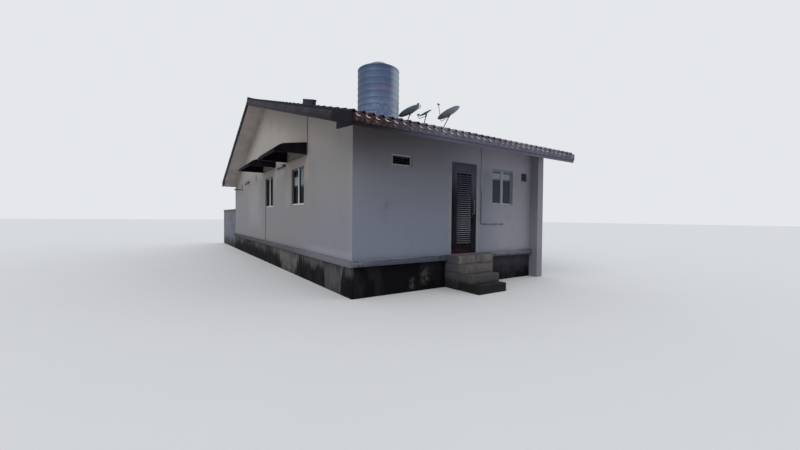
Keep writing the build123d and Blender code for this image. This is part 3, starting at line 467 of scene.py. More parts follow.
f = soffit_paint = Finish("soffit_paint", roughness=0.8)
patches = f.cloud(0.6, detail=5)
f.blend(patches.band(0.34, 0.66), (158, 148, 144), (178, 168, 162))
by_wall = f.x.band(-3.1, -2.9) * f.x.band(-2.8, -2.86)
f.over(by_wall * 0.3, (136, 132, 112))
by_wall = (f.y - patches * 0.6).band(-7.3, -6.95)
f.over(by_wall * f.x.band(-2.87, -2.86) * 0.6, (84, 76, 70))
stain = f.cloud(0.35, detail=6, rough=0.6).band(0.56, 0.7)
f.over(stain * 0.35, (126, 117, 104))
along = f.sum_up("PINGPONG", f.y + 20.0, 0.61)
joint = along.band(0.006, 0.002)
f.over(joint * 0.5, (84, 80, 76))
f.coat(f.cloud(0.02) * 0.3 - joint, depth=0.003)
dress(soffit_paint, "verge_soffit", "eave_soffits")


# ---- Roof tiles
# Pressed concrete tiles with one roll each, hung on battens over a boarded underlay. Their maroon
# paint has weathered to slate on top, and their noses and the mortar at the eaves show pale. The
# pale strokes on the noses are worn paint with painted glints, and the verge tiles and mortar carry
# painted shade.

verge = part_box("roof_slope_rear")[0].x
roof_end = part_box("roof_slope_rear")[1].x
layer_depth = 0.070
tile_profile = (
    (-0.004, -0.021), (0.009, -0.014), (0.023, -0.004), (0.040, 0.0), (0.057, -0.005), (0.073, -0.018),
    (0.089, -0.028), (0.122, -0.033), (0.155, -0.033), (0.178, -0.034), (0.195, -0.034),
)
tile_thickness = 0.014
tile_length = 0.345
tile_fall = 0.020
tile_columns = 35
tile_first = 0.006
tile_pitch = (roof_end - verge - tile_first - tile_profile[-1][0] - 0.005) / (tile_columns - 1)

f = roof_tile = Finish("roof_tile_paint", roughness=0.8, gloss=0.2)
own_tone, down, across = f.parts(f.add("Attribute", attribute_name="laid").outputs["Vector"])
fine = f.cloud(0.012, detail=5, rough=0.65)
patches = f.cloud(0.42, detail=5, rough=0.6)
f.blend(own_tone, (46, 30, 35), (76, 46, 52))
weathered = (patches + own_tone * 0.3).band(0.42, 0.62) * down.band(0.998, 0.99)
toward_party = (f.x + patches * 1.2).band(-1.2, 1.0)
f.over(toward_party * 0.75, f.lay(own_tone, (72, 64, 72), (98, 88, 95)))
f.over(weathered * 0.92, (40, 45, 57))
limed = f.y.band(-7.5, -7.55) * (f.x + patches * 0.8).band(-2.8, -0.9)
f.over(limed * 0.8, f.lay(own_tone, (78, 74, 88), (146, 142, 155)))
f.over(f.cloud(0.05, detail=5).band(0.55, 0.68) * 0.45, (25, 24, 29))
lichen = f.cloud(0.03).band(0.62, 0.7) * f.cloud(0.9, detail=2).band(0.48, 0.6)
f.over(lichen * 0.5, (104, 106, 96))
mossy = f.x.near(-1.75, 0.95, 0.25) * f.y.band(-6.7, -7.4) | f.cloud(0.9).band(0.58, 0.72)
moss = mossy * f.cloud(0.16, detail=3).band(0.48, 0.6)
f.over(moss * 0.6, (78, 84, 62))
# Painted shade: the tiles along the verge are dark navy.
verge_painted_shade = f.x.band(-3.405, -3.425) * f.y.band(-7.6, -7.56)
f.over(verge_painted_shade * 0.9, (24, 29, 42))
# Pale strokes on the roll flanks near the noses, strongest in the first row: worn paint and painted
# glints.
flank = down.band(0.955, 0.985) * across.near(0.092, 0.052, 0.03)
first_row = f.z.near(3.209, 0.034, 0.026)
flank = flank * (first_row * 0.7 + 0.3)
pale_wear_and_glint = flank * (f.cloud(0.03) + own_tone * 0.42).band(0.5, 0.66)
f.over(pale_wear_and_glint * 0.95, (214, 200, 192))
f.coat(fine * 0.5 + patches * 0.3, depth=0.003)

f = mortar = Finish("roof_mortar", roughness=0.92, gloss=0.15)
patches = f.cloud(0.06, detail=6, rough=0.65)
f.blend(patches.band(0.4, 0.68), (36, 24, 28), (84, 64, 63))
f.over(f.cloud(0.25).band(0.48, 0.6) * 0.8, (30, 26, 31))
limed = f.y.band(-7.5, -7.55) * (f.x + patches * 0.8).band(-2.8, -0.9)
f.over(limed * 0.85, (92, 91, 106))
# Painted shade: the mortar along the verge is dark navy.
f.over(f.x.band(-3.405, -3.425), (22, 26, 37))
f.coat(patches, depth=0.01)


def only(kind, items):
    """The items of one kind out of a list of bmesh elements."""
    return [item for item in items if isinstance(item, kind)]


def face_up(shape):
    """Turn an open sheet's faces one way, most of them upwards."""
    face_out(shape)
    if sum(face.normal.z for face in shape.faces) < 0:
        bmesh.ops.reverse_faces(shape, faces=shape.faces)


def tile_pattern(length):
    """One tile with its nose at the origin, drawn out up the y axis and given its thickness."""
    shape = bmesh.new()
    laid = shape.verts.layers.float_vector.new("laid")
    points = [shape.verts.new((across, 0.0, height)) for across, height in tile_profile]
    edges = [shape.edges.new(pair) for pair in zip(points, points[1:])]
    head = only(bmesh.types.BMVert, bmesh.ops.extrude_edge_only(shape, edges=edges)["geom"])
    bmesh.ops.translate(shape, verts=head, vec=(0.0, length, -tile_fall * length / tile_length))
    face_up(shape)
    bmesh.ops.solidify(shape, geom=shape.faces[:], thickness=tile_thickness)
    shape.normal_update()
    lift = max(point.co.z for point in shape.verts)
    bmesh.ops.translate(shape, verts=shape.verts, vec=(0.0, 0.0, -lift))
    face_out(shape)
    for point in shape.verts:
        point[laid] = (0.0, 1.0 - point.co.y / length, point.co.x)
    mesh = bpy.data.meshes.new("tile_pattern")
    shape.to_mesh(mesh)
    shape.free()
    return mesh


def slope_axes(node, rising):
    """A roof slope's matrix from its eave's corner (across, up the slope, out of it), and length."""
    low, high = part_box(node)
    eave = Vector((low.x, low.y if rising > 0 else high.y, low.z + layer_depth))
    ridge = Vector((low.x, high.y if rising > 0 else low.y, high.z))
    up = (ridge - eave).normalized()
    out = Vector((1.0, 0.0, 0.0)).cross(up) * rising
    turn = Matrix(((1.0, 0.0, 0.0), up, out)).transposed().to_4x4()
    return Matrix.Translation(eave) @ turn, (ridge - eave).length


def add_tile(shape, pattern, place, own):
    """Add one tile of a pattern to a bmesh, with its own tone."""
    tile = pattern.copy()
    tile.transform(place)
    values = [0.0] * (3 * len(tile.vertices))
    tile.attributes["laid"].data.foreach_get("vector", values)
    values[0::3] = [own] * len(tile.vertices)
    tile.attributes["laid"].data.foreach_set("vector", values)
    shape.from_mesh(tile)
    bpy.data.meshes.remove(tile)


def lay_slope(node, rising, courses, chance):
    """A slope's tiles, course by course from the eave, each a little out of true."""
    place, length = slope_axes(node, rising)
    gauge = (length - 0.004) / courses
    full = tile_pattern(tile_length)
    top = tile_pattern(gauge - 0.012)
    shape = bmesh.new()
    for course in range(courses):
        pattern = top if course == courses - 1 else full
        for column in range(tile_columns):
            across = tile_first + column * tile_pitch + chance.uniform(-0.0015, 0.0015)
            along = 0.003 + course * gauge + chance.uniform(0.0, 0.006)
            spot = Matrix.Translation((across, along, -chance.uniform(0.0, 0.002)))
            spot = spot @ Matrix.Rotation(chance.uniform(-0.007, 0.007), 4, "Z")
            add_tile(shape, pattern, place @ spot, chance.random())
    return shape, place, length


def add_block(shape, spot, size):
    """Add a box of a size, at a point or on a matrix's axes, and return its edges."""
    spot = spot if isinstance(spot, Matrix) else Matrix.Translation(spot)
    points = bmesh.ops.create_cube(shape, size=1.0, matrix=spot @ Matrix.Diagonal((*size, 1.0)))["verts"]
    return list(dict.fromkeys(edge for point in points for edge in point.link_edges))


def slope_bar(shape, place, low, high):
    """A straight bar between two corners of a slope's own axes."""
    low, high = Vector(low), Vector(high)
    add_block(shape, place @ Matrix.Translation((low + high) / 2), high - low)


def underlay(node, rising):
    """The boards under the tiles: the slope's layer, its top taken down and its edges drawn in."""
    place = slope_axes(node, rising)[0]
    eave, up = place.translation, place.to_3x3().col[1]
    shape = merged_copy(node)
    for point in shape.verts:
        top = eave.z + (point.co.y - eave.y) * up.z / up.y
        if top - point.co.z < 0.01:
            point.co.z = top - 0.061
        if point.co.x < verge + 0.01:
            point.co.x = verge + 0.027
        if abs(point.co.y - eave.y) < 0.01:
            point.co += Vector((0.0, up.y, up.z)) * 0.050
    return shape


def eave_rows(shape, bed, node, rising, drops, chance):
    """Rows of short tile ends bedded one under the other before the fascia, and their mortar."""
    place = slope_axes(node, rising)[0]
    eave = place.translation
    start = 0.028
    pitch = (roof_end - verge - start - tile_profile[-1][0] - 0.006) / (tile_columns - 1)
    for row, fall in enumerate(drops, start=1):
        pattern = tile_pattern(0.032 - 0.004 * row)
        drop = Matrix.Translation((0.0, rising * 0.003 * row, -fall))
        for column in range(tile_columns):
            across = start + column * pitch - chance.uniform(0.0, 0.003)
            spot = Matrix.Translation((across, 0.004, -chance.uniform(0.0, 0.003)))
            add_tile(shape, pattern, drop @ place @ spot, chance.random())
    back = eave.y + rising * 0.0395
    middle = ((verge + start + roof_end) / 2, back - rising * 0.010, eave.z - 0.115)
    add_block(bed, middle, (roof_end - verge - start - 0.004, 0.020, 0.138))


chance = random.Random(20)
rear_tiles, rear_place, rear_length = lay_slope("roof_slope_rear", 1, 27, chance)

# The tank stands through the rear slope: tiles are cut to a many-sided hole round it
tank_low, tank_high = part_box("tank_shell")
tank_axis = (tank_low + tank_high) / 2
hole_radius = 0.500
hole_sides = 20
inside = [face for face in rear_tiles.faces if (face.calc_center_median() - tank_axis).xy.length < 0.95]
for number in range(hole_sides):
    angle = 2 * math.pi * number / hole_sides
    outward = Vector((math.cos(angle), math.sin(angle), 0.0))
    edge_point = tank_axis + outward * hole_radius
    geometry = set(inside)
    for face in inside:
        geometry.update(face.edges)
        geometry.update(face.verts)
    cut = bmesh.ops.bisect_plane(
        rear_tiles, geom=list(geometry), dist=0.00001, plane_co=edge_point, plane_no=outward
    )["geom"]
    inside = [
        face
        for face in only(bmesh.types.BMFace, cut)
        if (face.calc_center_median() - edge_point).dot(outward) < 0
    ]
bmesh.ops.delete(rear_tiles, geom=inside, context="FACES")

front_tiles, front_place, front_length = lay_slope("roof_slope_front", -1, 21, chance)
face_out(front_tiles)
bedding = bmesh.new()
eave_rows(rear_tiles, bedding, "roof_slope_rear", 1, (0.052, 0.116), chance)
eave_rows(front_tiles, bedding, "roof_slope_front", -1, (0.052, 0.116), chance)
for place, length in ((rear_place, rear_length), (front_place, front_length)):
    slope_bar(bedding, place, (0.008, 0.02, -0.0695), (0.030, length - 0.02, -0.030))
    slope_bar(bedding, place, (0.030, 0.014, -0.0695), (roof_end - verge - 0.004, 0.056, -0.049))
set_piece("rear_tiles", rear_tiles, roof_tile, ["roof_slope_rear"], smooth=0.7)
set_piece("front_tiles", front_tiles, roof_tile, ["roof_slope_front"], smooth=0.7)
set_piece("tile_bedding", bedding, mortar, slot="roof_tile", smooth=None)
set_piece("rear_underlay", underlay("roof_slope_rear", 1), sawn_wood, slot="roof_timber", smooth=None)
set_piece("front_underlay", underlay("roof_slope_front", -1), sawn_wood, slot="roof_timber", smooth=None)


# ---- Tank collar
# A fillet of mortar dressed round the tank where it leaves the tiles, as it is cut by hand and
# keeps the rain out of the hole.

collar = bmesh.new()
bmesh.ops.create_cone(collar, cap_ends=False, segments=64, radius1=0.580, radius2=0.500, depth=0.075)
rear_up = rear_place.to_3x3().col[1]
slope_share = rear_up.z / rear_up.y
rear_eave = rear_place.translation
for point in collar.verts:
    point.co += Vector((tank_axis.x, tank_axis.y, 0.0))
    point.co.z += rear_eave.z + slope_share * (point.co.y - rear_eave.y) - 0.022
    point.co.z += 0.010 * noise.noise(point.co / 0.12)
bmesh.ops.solidify(collar, geom=collar.faces[:], thickness=0.012)
set_piece("tank_collar", collar, mortar, slot="roof_tile", smooth=0.9, turn_out=True)


# ---- Ridge cap
# Half-round ridge tiles with a collar at one end, each lapped over the next and bedded in mortar
# along both slopes.

ridge_low, ridge_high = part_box("ridge_cap")
ridge_radius = 0.115
ridge_centre = Vector((0.0, (ridge_low.y + ridge_high.y) / 2, ridge_high.z - ridge_radius))
ridge_count = 15
ridge_pitch = (ridge_high.x - ridge_low.x) / ridge_count
ridge_outline = (
    (0.0, ridge_radius), (0.055, ridge_radius), (0.062, 0.108), (ridge_pitch + 0.02, 0.101),
)
ridge_tiles = bmesh.new()
ridge_mark = ridge_tiles.verts.layers.float_vector.new("laid")
for number in range(ridge_count):
    own = chance.random()
    start = ridge_low.x + number * ridge_pitch
    outline = [(min(start + along, ridge_high.x), radius) for along, radius in ridge_outline]
    points = [
        ridge_tiles.verts.new((along, ridge_centre.y - radius, ridge_centre.z - 0.004))
        for along, radius in outline
    ]
    edges = [ridge_tiles.edges.new(pair) for pair in zip(points, points[1:])]
    bmesh.ops.spin(
        ridge_tiles, geom=points + edges, cent=ridge_centre, axis=(1.0, 0.0, 0.0),
        dvec=(0.0, 0.0, 0.0), angle=-math.pi, steps=14, use_merge=False,
    )
    for point in ridge_tiles.verts:
        if point[ridge_mark].length == 0.0:
            down = 1.0 if point.co.x < start + 0.02 else 0.0
            point[ridge_mark] = (own, down, 1.0)
face_up(ridge_tiles)
cap = set_piece("ridge_tiles", ridge_tiles, roof_tile, ["ridge_cap"], smooth=0.7)
thickness = cap.modifiers.new("thickness", "SOLIDIFY")
thickness.thickness = 0.013
thickness.offset = -1.0

ridge_bed = bmesh.new()
for side in (-1, 1):
    height = ridge_centre.z + 0.044 - side * 0.006
    middle = ((ridge_low.x + ridge_high.x) / 2, ridge_centre.y + side * 0.106, height)
    add_block(ridge_bed, middle, (ridge_high.x - ridge_low.x - 0.01, 0.036, 0.040))
lengths = [edge for edge in ridge_bed.edges if edge.calc_length() > 1.0]
bmesh.ops.subdivide_edges(ridge_bed, edges=lengths, cuts=120)
roughen(ridge_bed, 0.06, 0.010)
set_piece("ridge_mortar", ridge_bed, mortar, slot="roof_tile", smooth=0.9)


# ---- Verge block
# Spare flat tiles, stacked on the verge and bedded there in mortar. Mould has turned them as dark
# as the tiles round them.

block_low, block_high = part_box("verge_block")
stack = bmesh.new()
stack_mark = stack.verts.layers.float_vector.new("laid")
block_start = (block_low.y - rear_eave.y) / rear_up.y
block_reach = (block_high.y - block_low.y) / rear_up.y
layer = 0.0275
stack_end = block_start + block_reach - 0.006
slope_bar(stack, rear_place, (0.010, block_start + 0.036, -0.046), (0.076, stack_end, 0.004))
for number in range(3):
    slip = chance.uniform(0.0, 0.006)
    low = (0.004 + slip, block_start + 0.030 + slip, 0.001 + number * (layer + 0.002))
    high = (block_high.x - block_low.x - slip, block_start + block_reach - slip, low[2] + layer)
    slope_bar(stack, rear_place, low, high)
round_edges(stack, stack.edges[:], 0.005)
for point in stack.verts:
    point[stack_mark] = (1.0, 0.0, 0.0)
set_piece("stacked_tiles", stack, roof_tile, ["verge_block"])


# ---- Barge and fascia boards
# Planed boards nailed to the rafter ends, boxed down to the fascia at the eaves. Their paint has
# gone from maroon to a grey-purple, with black patches near the ridge and bare scratches. The rear
# eave's boxed end and fascia carry painted shade, near black at the verge and lighter along the eave.

f = board_paint = Finish("board_paint", roughness=0.75, gloss=0.08)
grain = f.cloud(0.008, detail=5, rough=0.6, stretch=(8, 40, 8))
patches = f.cloud(0.3, detail=5, rough=0.6, stretch=(1, 2.2, 1))
f.blend(patches.band(0.36, 0.64), (46, 43, 50), (60, 56, 63))
f.over(f.cloud(0.5, stretch=(1, 2, 1)).band(0.5, 0.62) * 0.7, (40, 36, 44))
# Painted shade: the rear eave's boxed end is near black and the fascia dark, lightening along the eave.
eave_shade_zone = (f.y - patches * 0.3).band(-6.92, -7.06)
dark = f.lay(patches.band(0.44, 0.7), (17, 14, 20), (29, 25, 34))
fascia_shade_along_eave = f.lay(f.x.band(-3.2, -1.2), (34, 31, 35), (88, 88, 102))
fascia_shade_along_eave = f.lay(f.x.band(-0.6, 2.2), fascia_shade_along_eave, (98, 98, 111))
dark = f.lay(f.x.band(-3.425, -3.405), dark, fascia_shade_along_eave)
above = f.z - f.y * 0.2959
lower = (above + patches * 0.1).band(5.425, 5.385) * f.y.band(0.36, 0.34)
f.over(lower * 0.85, (40, 36, 40))
f.over(f.y.band(0.4, 0.42), (28, 30, 41))
f.over(eave_shade_zone, dark)
f.over(grain.band(0.6, 0.72) * 0.22, (104, 96, 94))
f.coat(grain * 0.6 + patches * 0.3, depth=0.002)
for node in ("barge_board_rear", "barge_board_front", "fascia_boards"):
    eased_piece(f"{node}_planed", node, 0.003, board_paint)


# ---- Water tank
# Rolled stainless sheet with pressed ribs, a domed top seamed on, a neck with a pressed lid, and
# a threaded elbow for the supply. Dust and hard water have dulled it. Its right-hand side as the
# camera sees it carries a painted highlight, and pink bands over two ribs there are a painted
# reflection of the tiles.

f = tank_sheet = Finish("tank_sheet", roughness=0.5, metal=0.35, gloss=0.4)
brushed = f.cloud(0.004, detail=3, stretch=(60, 60, 1))
patches = f.cloud(0.35, stretch=(1, 1, 1.8))
runs = f.cloud(0.035, stretch=(1, 1, 22))
f.blend(patches.band(0.36, 0.64), (60, 76, 104), (74, 89, 119))
f.over(f.cloud(0.18, detail=3, stretch=(1, 1, 0.6)).band(0.56, 0.68) * 0.4, (86, 82, 108))
f.over(runs.band(0.56, 0.7) * 0.3, (96, 106, 124))
lower = f.z.band(4.35, 3.95) * f.cloud(0.1, stretch=(1, 1, 0.6)).band(0.48, 0.58)
f.over(f.z.band(4.6, 4.1) * 0.5, (94, 112, 142))
f.over(lower * 0.6, (118, 130, 152))
# Painted highlight: the drum's right-hand side, as the camera sees it, is made pale.
across_camera_view = (f.x + 1.715) * 0.827 - (f.y + 5.475) * 0.5615
f.over((across_camera_view + patches * 0.1).band(0.3, 0.5) * 0.85, (149, 159, 170))
# Painted reflection: pink bands of the tiles on two ribs at the right-hand side.
painted_tile_reflection = f.z.near(4.44, 0.08, 0.03) * across_camera_view.near(0.12, 0.24, 0.08)
painted_tile_reflection = painted_tile_reflection | f.z.near(4.13, 0.07, 0.02) * across_camera_view.band(0.02, 0.22)
painted_tile_reflection = painted_tile_reflection * f.cloud(0.2, stretch=(1, 1, 0.3)).band(0.4, 0.56)
f.over(painted_tile_reflection * 0.4, (118, 98, 118))
f.over(f.z.band(tank_high.z - 0.02, tank_high.z + 0.02) * 0.85, (42, 54, 74))
f.coat(roughness=patches.band(0.4, 0.7) * 0.14 + 0.46, relief=brushed, depth=0.0003)


def spin_round(outline, centre, rounds=96):
    """A solid of revolution about an upright axis, from (distance, height) points."""
    shape = bmesh.new()
    points = [shape.verts.new(Vector(centre) + Vector((out, 0.0, height))) for out, height in outline]
    edges = [shape.edges.new(pair) for pair in zip(points, points[1:])]
    bmesh.ops.spin(
        shape, geom=points + edges, cent=centre, axis=(0.0, 0.0, 1.0), dvec=(0.0, 0.0, 0.0),
        angle=2 * math.pi, steps=rounds, use_merge=True,
    )
    bmesh.ops.remove_doubles(shape, verts=shape.verts, dist=0.00002)
    face_out(shape)
    return shape


tank_radius = 0.475
tank_base = Vector((tank_axis.x, tank_axis.y, tank_low.z))
tank_tall = tank_high.z - tank_low.z
rib_side = ((0.040, 0.0), (0.028, 0.0010), (0.014, 0.0040))
rib_shape = (*((-down, out) for down, out in rib_side), (0.0, 0.0055), *reversed(rib_side))
outline = [(0.0, 0.0), (tank_radius - 0.006, 0.0), (tank_radius, 0.006)]
for number in range(1, 10):
    outline += [(tank_radius + proud, number * 0.143 + step) for step, proud in rib_shape]
outline += [
    (tank_radius, tank_tall - 0.030), (tank_radius + 0.004, tank_tall - 0.026),
    (tank_radius + 0.004, tank_tall - 0.004), (tank_radius, tank_tall),
    (tank_radius - 0.010, tank_tall), (tank_radius - 0.010, 0.012), (0.0, 0.012),
]
set_piece("tank_drum", spin_round(outline, tank_base), tank_sheet, ["tank_shell"], smooth=0.8)

top_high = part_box("tank_top")[1]
dome_rise = 0.130
neck_radius = 0.180
dome_sphere = (tank_radius**2 + dome_rise**2) / (2 * dome_rise)


def dome_height(distance, inset=0.0):
    """Height of the tank's dome over its shoulder, at a distance from the axis."""
    return ((dome_sphere - inset) ** 2 - distance**2) ** 0.5 - dome_sphere + dome_rise


neck_top = top_high.z - tank_high.z
steps = [tank_radius - 0.295 * share / 8 for share in range(9)]
outline = [(distance, dome_height(distance)) for distance in steps]
outline[-1] = (neck_radius, dome_height(neck_radius))
outline += [
    (neck_radius, neck_top - 0.004), (neck_radius - 0.003, neck_top), (neck_radius - 0.010, neck_top),
    (neck_radius - 0.010, dome_height(neck_radius - 0.010, 0.010)),
]
outline += [(distance, dome_height(distance, 0.010)) for distance in reversed(steps[2:-1])]
outline += [(tank_radius - 0.040, 0.0), (tank_radius, 0.0)]
shoulder = Vector((tank_axis.x, tank_axis.y, tank_high.z))
set_piece("tank_dome", spin_round(outline, shoulder), tank_sheet, ["tank_top"], smooth=0.8)

lid_low, lid_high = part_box("tank_lid")
lid_tall = lid_high.z - lid_low.z
f = lid_plate = Finish("lid_plate", roughness=0.5, metal=0.35, gloss=0.4)
patches = f.cloud(0.09, detail=5)
f.blend(patches.band(0.36, 0.64), (150, 164, 180), (172, 182, 194))
f.over(f.cloud(0.03).band(0.58, 0.7) * 0.5, (120, 130, 142))
f.coat(f.cloud(0.02), depth=0.0006)
outline = [
    (0.0, 0.018), (0.178, 0.018), (0.182, 0.0), (0.197, 0.0), (0.200, 0.004), (0.200, 0.026),
    (0.194, 0.031), (0.176, 0.034), (0.168, 0.040), (0.120, 0.060), (0.060, lid_tall - 0.003),
    (0.0, lid_tall),
]
lid = spin_round(outline, Vector((tank_axis.x, tank_axis.y, lid_low.z)), rounds=72)
set_piece("tank_lid_pressed", lid, lid_plate, ["tank_lid"], smooth=0.7)


def aim(point, way):
    """The matrix that stands at a point with its z axis along a way."""
    return Matrix.Translation(point) @ Vector(way).to_track_quat("Z", "Y").to_matrix().to_4x4()


def stud(shape, spot, depth, radius, end_radius=None, sides=8):
    """Add a closed cone or cylinder, as of a screw, on a matrix."""
    bmesh.ops.create_cone(
        shape, cap_ends=True, segments=sides, radius1=radius, radius2=end_radius or radius,
        depth=depth, matrix=spot,
    )


def rod(shape, start, stop, radius, end_radius=None, sides=18):
    """A round rod or cone from one point to another."""
    way = Vector(stop) - Vector(start)
    stud(shape, aim(Vector(start) + way / 2, way), way.length, radius, end_radius, sides)


def draw_pipe(shape, points, radius, bend, sides=14):
    """Draw a round pipe along straight runs whose corners are arcs, and close its ends."""
    points = [Vector(point) for point in points]
    way = (points[1] - points[0]).normalized()
    ring = bmesh.ops.create_circle(
        shape, cap_ends=False, radius=radius, segments=sides, matrix=aim(points[0], way)
    )["verts"]
    edges = list(dict.fromkeys(edge for point in ring for edge in point.link_edges))
    start_edges = edges
    at = points[0]
    for number, corner in enumerate(points[1:], start=2):
        last = number == len(points)
        after = way if last else (points[number] - corner).normalized()
        angle = way.angle(after, 0.0)
        cut = 0.0 if last else bend * math.tan(angle / 2)
        target = corner - way * cut
        drawn = bmesh.ops.extrude_edge_only(shape, edges=edges)["geom"]
        moved = only(bmesh.types.BMVert, drawn)
        bmesh.ops.translate(shape, verts=moved, vec=target - at)
        edges = [edge for edge in only(bmesh.types.BMEdge, drawn) if set(edge.verts) <= set(moved)]
        at = target
        if not last and angle > 0.01:
            axis = way.cross(after).normalized()
            centre = target + axis.cross(way) * bend
            swung = bmesh.ops.spin(
                shape, geom=edges, cent=centre, axis=axis, dvec=(0.0, 0.0, 0.0), angle=angle,
                steps=8, use_merge=False,
            )["geom_last"]
            edges = only(bmesh.types.BMEdge, swung)
            at = corner + after * cut
        way = after
    bmesh.ops.holes_fill(shape, edges=start_edges + edges, sides=sides)


inlet_low, inlet_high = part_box("tank_inlet")
socket = 0.014
inlet_z = inlet_low.z + socket
inlet_x = inlet_high.x - socket
elbow = bmesh.new()
on_shell = Vector((tank_axis.x + tank_radius, tank_axis.y, inlet_z))
bend_point = Vector((inlet_x, tank_axis.y, inlet_z))
outlet = Vector((inlet_x, tank_axis.y, inlet_high.z))
draw_pipe(elbow, [on_shell - Vector((0.002, 0, 0)), bend_point, outlet], 0.011, 0.028)
rod(elbow, on_shell, on_shell + Vector((0.012, 0, 0)), socket, sides=8)
rod(elbow, outlet - Vector((0, 0, socket)), outlet, socket, sides=8)
set_piece("tank_elbow", elbow, lid_plate, ["tank_inlet"], turn_out=True)


# ---- Window hoods
# Moulded plastic awnings: one sheet that runs out from the wall and curls down, with closed
# cheeks, screwed along the wall and round a painted steel frame. Sun and soot have darkened them.

f = hood_plastic = Finish("hood_plastic_sheet", roughness=0.6, gloss=0.012)
patches = f.cloud(0.35, detail=5)
runs = f.cloud(0.05, stretch=(8, 1, 6))
f.blend(patches.band(0.36, 0.66), (17, 14, 20), (29, 24, 29))
f.over(runs.band(0.54, 0.7) * 0.3, (42, 37, 41))
f.coat(roughness=patches.band(0.35, 0.7) * 0.2 + 0.55, relief=patches * 0.7 + runs * 0.3, depth=0.003)
eased_piece("moulded_hoods", "window_hoods", 0.0025, hood_plastic, sharp=0.7, smooth=0.5)

hood_starts = (-3.950, -1.005)
hood_length = 1.712
hood_wall = -2.865
hood_edge = -3.709
hood_slope = 0.1536
strip_height = 3.4265
screw_height = 3.4595
lip_height = 3.162
trim = bmesh.new()
screws = bmesh.new()
for start in hood_starts:
    for part in range(1, 3):
        along = start + hood_length * part / 3
        spot = Matrix.Translation((hood_wall - 0.262, along, strip_height))
        add_block(trim, spot @ Matrix.Rotation(-hood_slope, 4, "Y"), (0.50, 0.036, 0.010))
    ends = [(hood_edge + 0.010, end, lip_height) for end in (start + 0.006, start + hood_length - 0.006)]
    draw_pipe(trim, ends, 0.008, 0.01, sides=10)
    for part in range(9):
        along = start + 0.05 + (hood_length - 0.1) * part / 8
        spot = Matrix.Translation((hood_wall - 0.030, along, screw_height))
        stud(screws, spot @ Matrix.Rotation(hood_slope, 4, "Y"), 0.008, 0.009, 0.006, sides=10)
set_piece("hood_trim", trim, hood_plastic, slot="hood_plastic", turn_out=True)

f = steel_paint = Finish("steel_paint", roughness=0.6, gloss=0.2)
rust = f.cloud(0.05, detail=6, rough=0.65).band(0.56, 0.66)
f.blend(f.cloud(0.2).band(0.4, 0.6), (38, 35, 39), (54, 50, 54))
f.over(rust * 0.6, (80, 56, 44))
f.over(f.x.band(-2.9, -2.894) * 0.85, (104, 98, 94))
f.coat(rust, depth=0.0008)
set_piece("hood_screws", screws, steel_paint, slot="hood_frame_paint")
eased_piece("hood_frames_welded", "hood_frames", 0.003, steel_paint)


# ---- Windows
# Folded aluminium frames, powder-coated white and screwed into the openings, with tinted panes in
# their sashes. The vent's glass blades sit in rubber carriers; the vent block is cast cement. The
# gable frames carry painted shade on their stiles and heads; the rear panes' grey and pale patches
# on the gable panes are painted reflection.

f = window_paint = Finish("window_powder_coat", roughness=0.45)
grime = f.cloud(0.09, detail=5)
f.blend(grime.band(0.36, 0.66), (128, 131, 139), (146, 148, 154))
# Painted shade: the gable frames' stiles and heads are dark grey; mullions and sills stay white.
gable_frames = f.x.band(-2.6, -2.7) * f.y.band(-6.4, -6.3)
f.over(gable_frames, (42, 43, 46))
mullions = f.y.near(-3.155, 0.055, 0.045) | f.y.near(-0.124, 0.055, 0.045)
f.over(gable_frames * mullions, (186, 187, 190))
f.over(gable_frames * f.z.band(1.95, 1.944), (196, 196, 197))
rear_frame = f.y.band(-6.3, -6.38) * f.x.band(1.0, 1.05)
f.over(rear_frame * f.z.band(1.99, 2.005), (112, 114, 124))
f.over(rear_frame * (f.x.near(1.4835, 0.075, 0.06) * f.z.band(2.83, 2.8)), (150, 151, 156))
f.over(f.cloud(0.02, detail=5, stretch=(1, 1, 4)).band(0.56, 0.7) * 0.4, (108, 108, 113))
f.coat(f.cloud(0.004, detail=3), depth=0.0004)
for node in ("gable_window_frames", "rear_window_frame", "front_window_frame", "vent_window_frame"):
    eased_piece(f"{node}_folded", node, 0.003, window_paint)

f = tinted_glass = Finish("tinted_glass", roughness=0.10, gloss=0.006)
dust = f.cloud(0.12, detail=6, rough=0.65)
f.blend(dust.band(0.4, 0.66), (9, 10, 13), (19, 21, 26))
# Painted reflection: the rear panes are grey, lighter at the top, for the sky they reflect.
rear_glass = f.y.band(-6.3, -6.38)
f.over(rear_glass, (60, 65, 76))
f.over(rear_glass * f.z.band(2.755, 2.785), (78, 82, 88))
film = (f.z + dust * 0.05).band(2.595, 2.675) * f.z.band(2.785, 2.755)
f.over(rear_glass * (film * 0.9), (142, 153, 160))
# Painted reflection: pale patches of sky on the gable panes.
painted_sky_reflection = f.z.band(2.42, 2.48) * (f.z.band(2.71, 2.66) * f.y.near(-2.955, 0.215, 0.185))
f.over(painted_sky_reflection * 0.9, (152, 153, 160))
painted_sky_reflection = (f.z + dust * 0.12).band(2.42, 2.54) * f.y.near(-3.47, 0.2, 0.17)
f.over(painted_sky_reflection * 0.9, (126, 138, 140))
f.coat(roughness=dust.band(0.45, 0.72) * 0.22 + 0.08)
eased_piece("window_panes_cut", "window_panes", 0.001, tinted_glass, smooth=None)

f = rubber = Finish("glazing_rubber", roughness=0.7)
f.blend(f.cloud(0.03), (24, 24, 26), (44, 44, 46))
f.coat()
f = vent_glass = Finish("vent_blade_glass", roughness=0.2, gloss=0.6)
film = f.cloud(0.05, detail=5)
f.blend(film.band(0.38, 0.66), (16, 17, 20), (36, 37, 40))
f.coat(roughness=film * 0.3 + 0.08)
eased_piece("vent_blades_ground", "vent_blades", 0.001, vent_glass)

